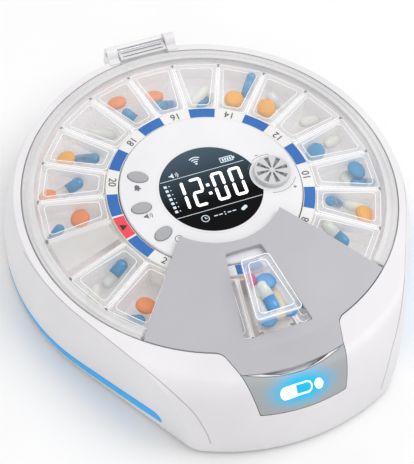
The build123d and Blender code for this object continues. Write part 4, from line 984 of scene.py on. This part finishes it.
def blankLabel():
    a, half = placeAngle(ring["home"]), radians(6.9)
    verts, faces = [], []
    radial, around = 14, 8
    for layer in (0.03, 0.13):
        for i in range(radial + 1):
            r = 56.5 + (86.5 - 56.5) * i / radial
            for k in range(around + 1):
                t = a + half * (2 * k / around - 1)
                verts.append((r * cos(t), r * sin(t), lidZ(r) + layer))
    n, w = (radial + 1) * (around + 1), around + 1
    for i in range(radial):
        for k in range(around):
            p = i * w + k
            faces.append([p, p + 1, p + w + 1, p + w])
            faces.append([n + p, n + p + w, n + p + w + 1, n + p + 1])
    edge = [k for k in range(w)] + [i * w + around for i in range(1, radial + 1)]
    edge += [radial * w + k for k in reversed(range(around))] + [i * w for i in reversed(range(1, radial))]
    for i, p in enumerate(edge):
        q = edge[(i + 1) % len(edge)]
        faces.append([p, q, q + n, p + n])
    label = pieceFrom("blankLabel", verts, faces, [finish["labelFilm"]], smooth=False)
    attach(label, "lid")


finish["labelFilm"] = clear("labelFilm", dict(colour=rgb(238, 238, 236), shade=rgb(228, 228, 226), rough=(0.4, 0.55),
                                              alpha=(0.28, 0.5), blend=0.4, mottle=0.06, bump=0.1, grainScale=900))
blankLabel()
print("lid trim")


mark = dict(x=-3.3, y=-117.6, squash=0.74, halfL=8.2, halfW=2.7, stroke=0.7, rise=0.22, cells=12, tabletX=11.5,
            tabletR=2.3)


def buttonTop(x, y):
    hit, place, normal, face = nodes["lit_button"].ray_cast(Vector((x * mm, y * mm, 0.1)), Vector((0, 0, -1)))
    return place.z / mm if hit else noseZ(x, y)


def litMark(f):
    halfL, halfW, stroke = f["halfL"], f["halfW"], f["stroke"]
    outer = pillOutline(halfL, halfW, steps=12)
    inner = pillOutline(halfL - stroke, halfW - stroke, steps=12)
    n = len(outer)
    shapes = [[outer[i], outer[(i + 1) % n], inner[(i + 1) % n], inner[i]] for i in range(n)]
    straight = [[(x0, side), (x0 + 1, side), (x0 + 1, side + stroke), (x0, side + stroke)]
                for x0 in range(-5, 6) for side in (-halfW, halfW - stroke)]
    shapes = [q for q in shapes if max(x for x, y in q) - min(x for x, y in q) < 2] + straight
    start, width = -halfL + stroke, (halfL - stroke) / f["cells"]
    rows = [(-1 + i / 3, -1 + (i + 1) / 3) for i in range(6)]
    for i in range(f["cells"]):
        x0, x1 = start + i * width, start + (i + 1) * width
        y0, y1 = (halfW * sqrt(max(0, 1 - (min(0, x + halfL - halfW) / halfW) ** 2)) for x in (x0, x1))
        shapes += [[(x0, a * y0), (x1, a * y1), (x1, b * y1), (x0, b * y0)] for a, b in rows]
    for i in range(-3, 4):
        x0, x1 = i * f["tabletR"] / 3.5 - 0.33, i * f["tabletR"] / 3.5 + 0.33
        y0, y1 = (sqrt(max(0.04, f["tabletR"] ** 2 - x * x)) for x in (x0, x1))
        shapes += [[(f["tabletX"] + x, y) for x, y in ((x0, a * y0), (x1, a * y1), (x1, b * y1), (x0, b * y0))]
                   for a, b in rows]
    shapes = [[(f["x"] + x, f["y"] + y * f["squash"]) for x, y in q] for q in shapes]
    joined("litMark", [(slabs(shapes, lambda x, y: buttonTop(x, y) - 0.1, lambda x, y: buttonTop(x, y) + f["rise"]), 0)],
           [finish["markGlow"]], "lit")


litMark(mark)
print("lit mark")


hingeShape = dict(half=12.6, slotY=(96.6, 99.0), slotW=0.5, top=42.4, plateY=97.6, plateW=5.6)


def hingeTrim(f):
    plate = boxOutline(0, f["plateY"], 2 * f["half"], f["plateW"])
    # the two slots are thin dark grey strips laid on the hinge plate: painted shade standing for the slot openings
    slots = [boxOutline(0, y, 2 * f["half"] - 3, f["slotW"]) for y in f["slotY"]]
    parts = [(slabs([plate], f["top"] + 0.02, f["top"] + 0.2), 0), (slabs(slots, f["top"] + 0.18, f["top"] + 0.28), 1)]
    joined("hingeTrim", parts, [finish["milkRim"], finish["printAndShadeGrey"]], "lid")


hingeTrim(hingeShape)

# the soft line where the deck and the front turn into the flank, drawn as a thin grey strip: painted shade along the
# crease
creaseShade = dict(width=0.55, proud=0.05, steps=6, points=((-98.6, -2, 38.6), (-96.2, -20.2, 40.2), (-92.6, -33.5, 40.6),
            (-88.6, -44.5, 40.7), (-83.1, -56.5, 40.8), (-78.3, -65.5, 40.8), (-74.0, -73.5, 40.8),
            (-69.2, -81.5, 40.3), (-63.4, -91.4, 38.6), (-57.0, -101.3, 34.6), (-51.2, -109.4, 28.2),
            (-46.8, -115.1, 17.5), (-44.6, -117.4, 8.0)))


def seamLine(f):
    centres, points = [], [Vector(p) for p in f["points"]]
    for i in range(len(points) - 1):
        p0, p3 = points[max(i - 1, 0)], points[min(i + 2, len(points) - 1)]
        for k in range(f["steps"]):
            t = k / f["steps"]
            p = 2 * points[i] + (points[i + 1] - p0) * t
            p += (2 * p0 - 5 * points[i] + 4 * points[i + 1] - p3) * t * t
            p += (3 * points[i] - 3 * points[i + 1] + p3 - p0) * t ** 3
            centres.append(p / 2)
    parts = []
    for side in (1, -1):
        row = []
        for p in centres:
            hit, place, normal, face = nodes["housing"].closest_point_on_mesh(Vector((p.x * side, p.y, p.z)) * mm)
            row.append((place / mm, normal))
        verts, faces = [], []
        for i, (place, normal) in enumerate(row):
            along = (row[min(i + 1, len(row) - 1)][0] - row[max(i - 1, 0)][0]).normalized()
            across = normal.cross(along).normalized() * f["width"] / 2
            for v, up in ((across, f["proud"]), (-across, f["proud"]), (-across, -0.1), (across, -0.1)):
                verts.append(tuple(place + v + normal * up))
        for i in range(len(row) - 1):
            faces += [[4 * i + k, 4 * i + (k + 1) % 4, 4 * i + 4 + (k + 1) % 4, 4 * i + 4 + k] for k in range(4)]
        faces += [[3, 2, 1, 0], [len(verts) - 4 + k for k in range(4)]]
        parts.append(((verts, faces), 0))
    joined("deckCreaseShade", parts, [finish["creaseShadeGrey"]], "base")


seamLine(creaseShade)
print("small details")


def paleStage():
    bpy.ops.mesh.primitive_plane_add(size=6, location=(0, 0, 0))
    floor = bpy.context.object
    floor.name = "paleFloor"
    floor.data.materials.append(moulded("floorPaint", dict(colour=(0.96, 0.96, 0.96), shade=(0.94, 0.94, 0.94),
                                                           rough=(0.6, 0.8), grainScale=40, bump=0.0)))
    world = bpy.data.worlds.new("softRoom")
    scene.world = world
    world.use_nodes = True
    world.node_tree.nodes["Background"].inputs["Color"].default_value = (1, 1, 1, 1)
    world.node_tree.nodes["Background"].inputs["Strength"].default_value = 0.64
    scene.cycles.transparent_max_bounces = 32
    for name, place, size, power, aim in (("keyLight", (0.55, -0.1, 1.0), 0.8, 4.9, (0, 0, 0.02)),
                                          ("fillLight", (-0.6, -0.7, 0.7), 0.9, 1.7, (0, 0, 0.02)),
                                          ("backLight", (-0.2, 0.9, 0.7), 0.7, 1.6, (0, 0, 0.04))):
        light = bpy.data.lights.new(name, "AREA")
        light.energy = power
        light.size = size
        obj = bpy.data.objects.new(name, light)
        obj.location = place
        obj.rotation_euler = (Vector(aim) - Vector(place)).to_track_quat("-Z", "Y").to_euler()
        scene.collection.objects.link(obj)
    scene.view_settings.view_transform = "Standard"


photoView = dict(azimuth=-26.6, elevation=54.24, roll=5.96, distance=925.98, shiftX=2.05, shiftY=21.09, planeZ=43.0,
                 focalPixels=1850.7, width=414, height=464)


def photoCamera(f):
    a, e, r = (radians(f[k]) for k in ("azimuth", "elevation", "roll"))
    back = Vector((sin(a) * cos(e), -cos(a) * cos(e), sin(e)))
    right = Vector((cos(a), sin(a), 0))
    up = back.cross(right)
    rightR, upR = right * cos(r) + up * sin(r), up * cos(r) - right * sin(r)
    where = back * f["distance"] - rightR * f["shiftX"] - upR * f["shiftY"]
    where.z += f["planeZ"]
    data = bpy.data.cameras.new("photoCamera")
    data.sensor_fit = "VERTICAL"
    data.sensor_height = 36
    data.lens = 36 * f["focalPixels"] / f["height"]
    data.clip_start, data.clip_end = 0.05, 20
    cam = bpy.data.objects.new("photoCamera", data)
    turn = Matrix((rightR, upR, back)).transposed().to_4x4()
    cam.matrix_world = Matrix.Translation(where * mm) @ turn
    scene.collection.objects.link(cam)
    scene.camera = cam


paleStage()
photoCamera(photoView)
print("stage and camera")

bpy.context.view_layer.update()
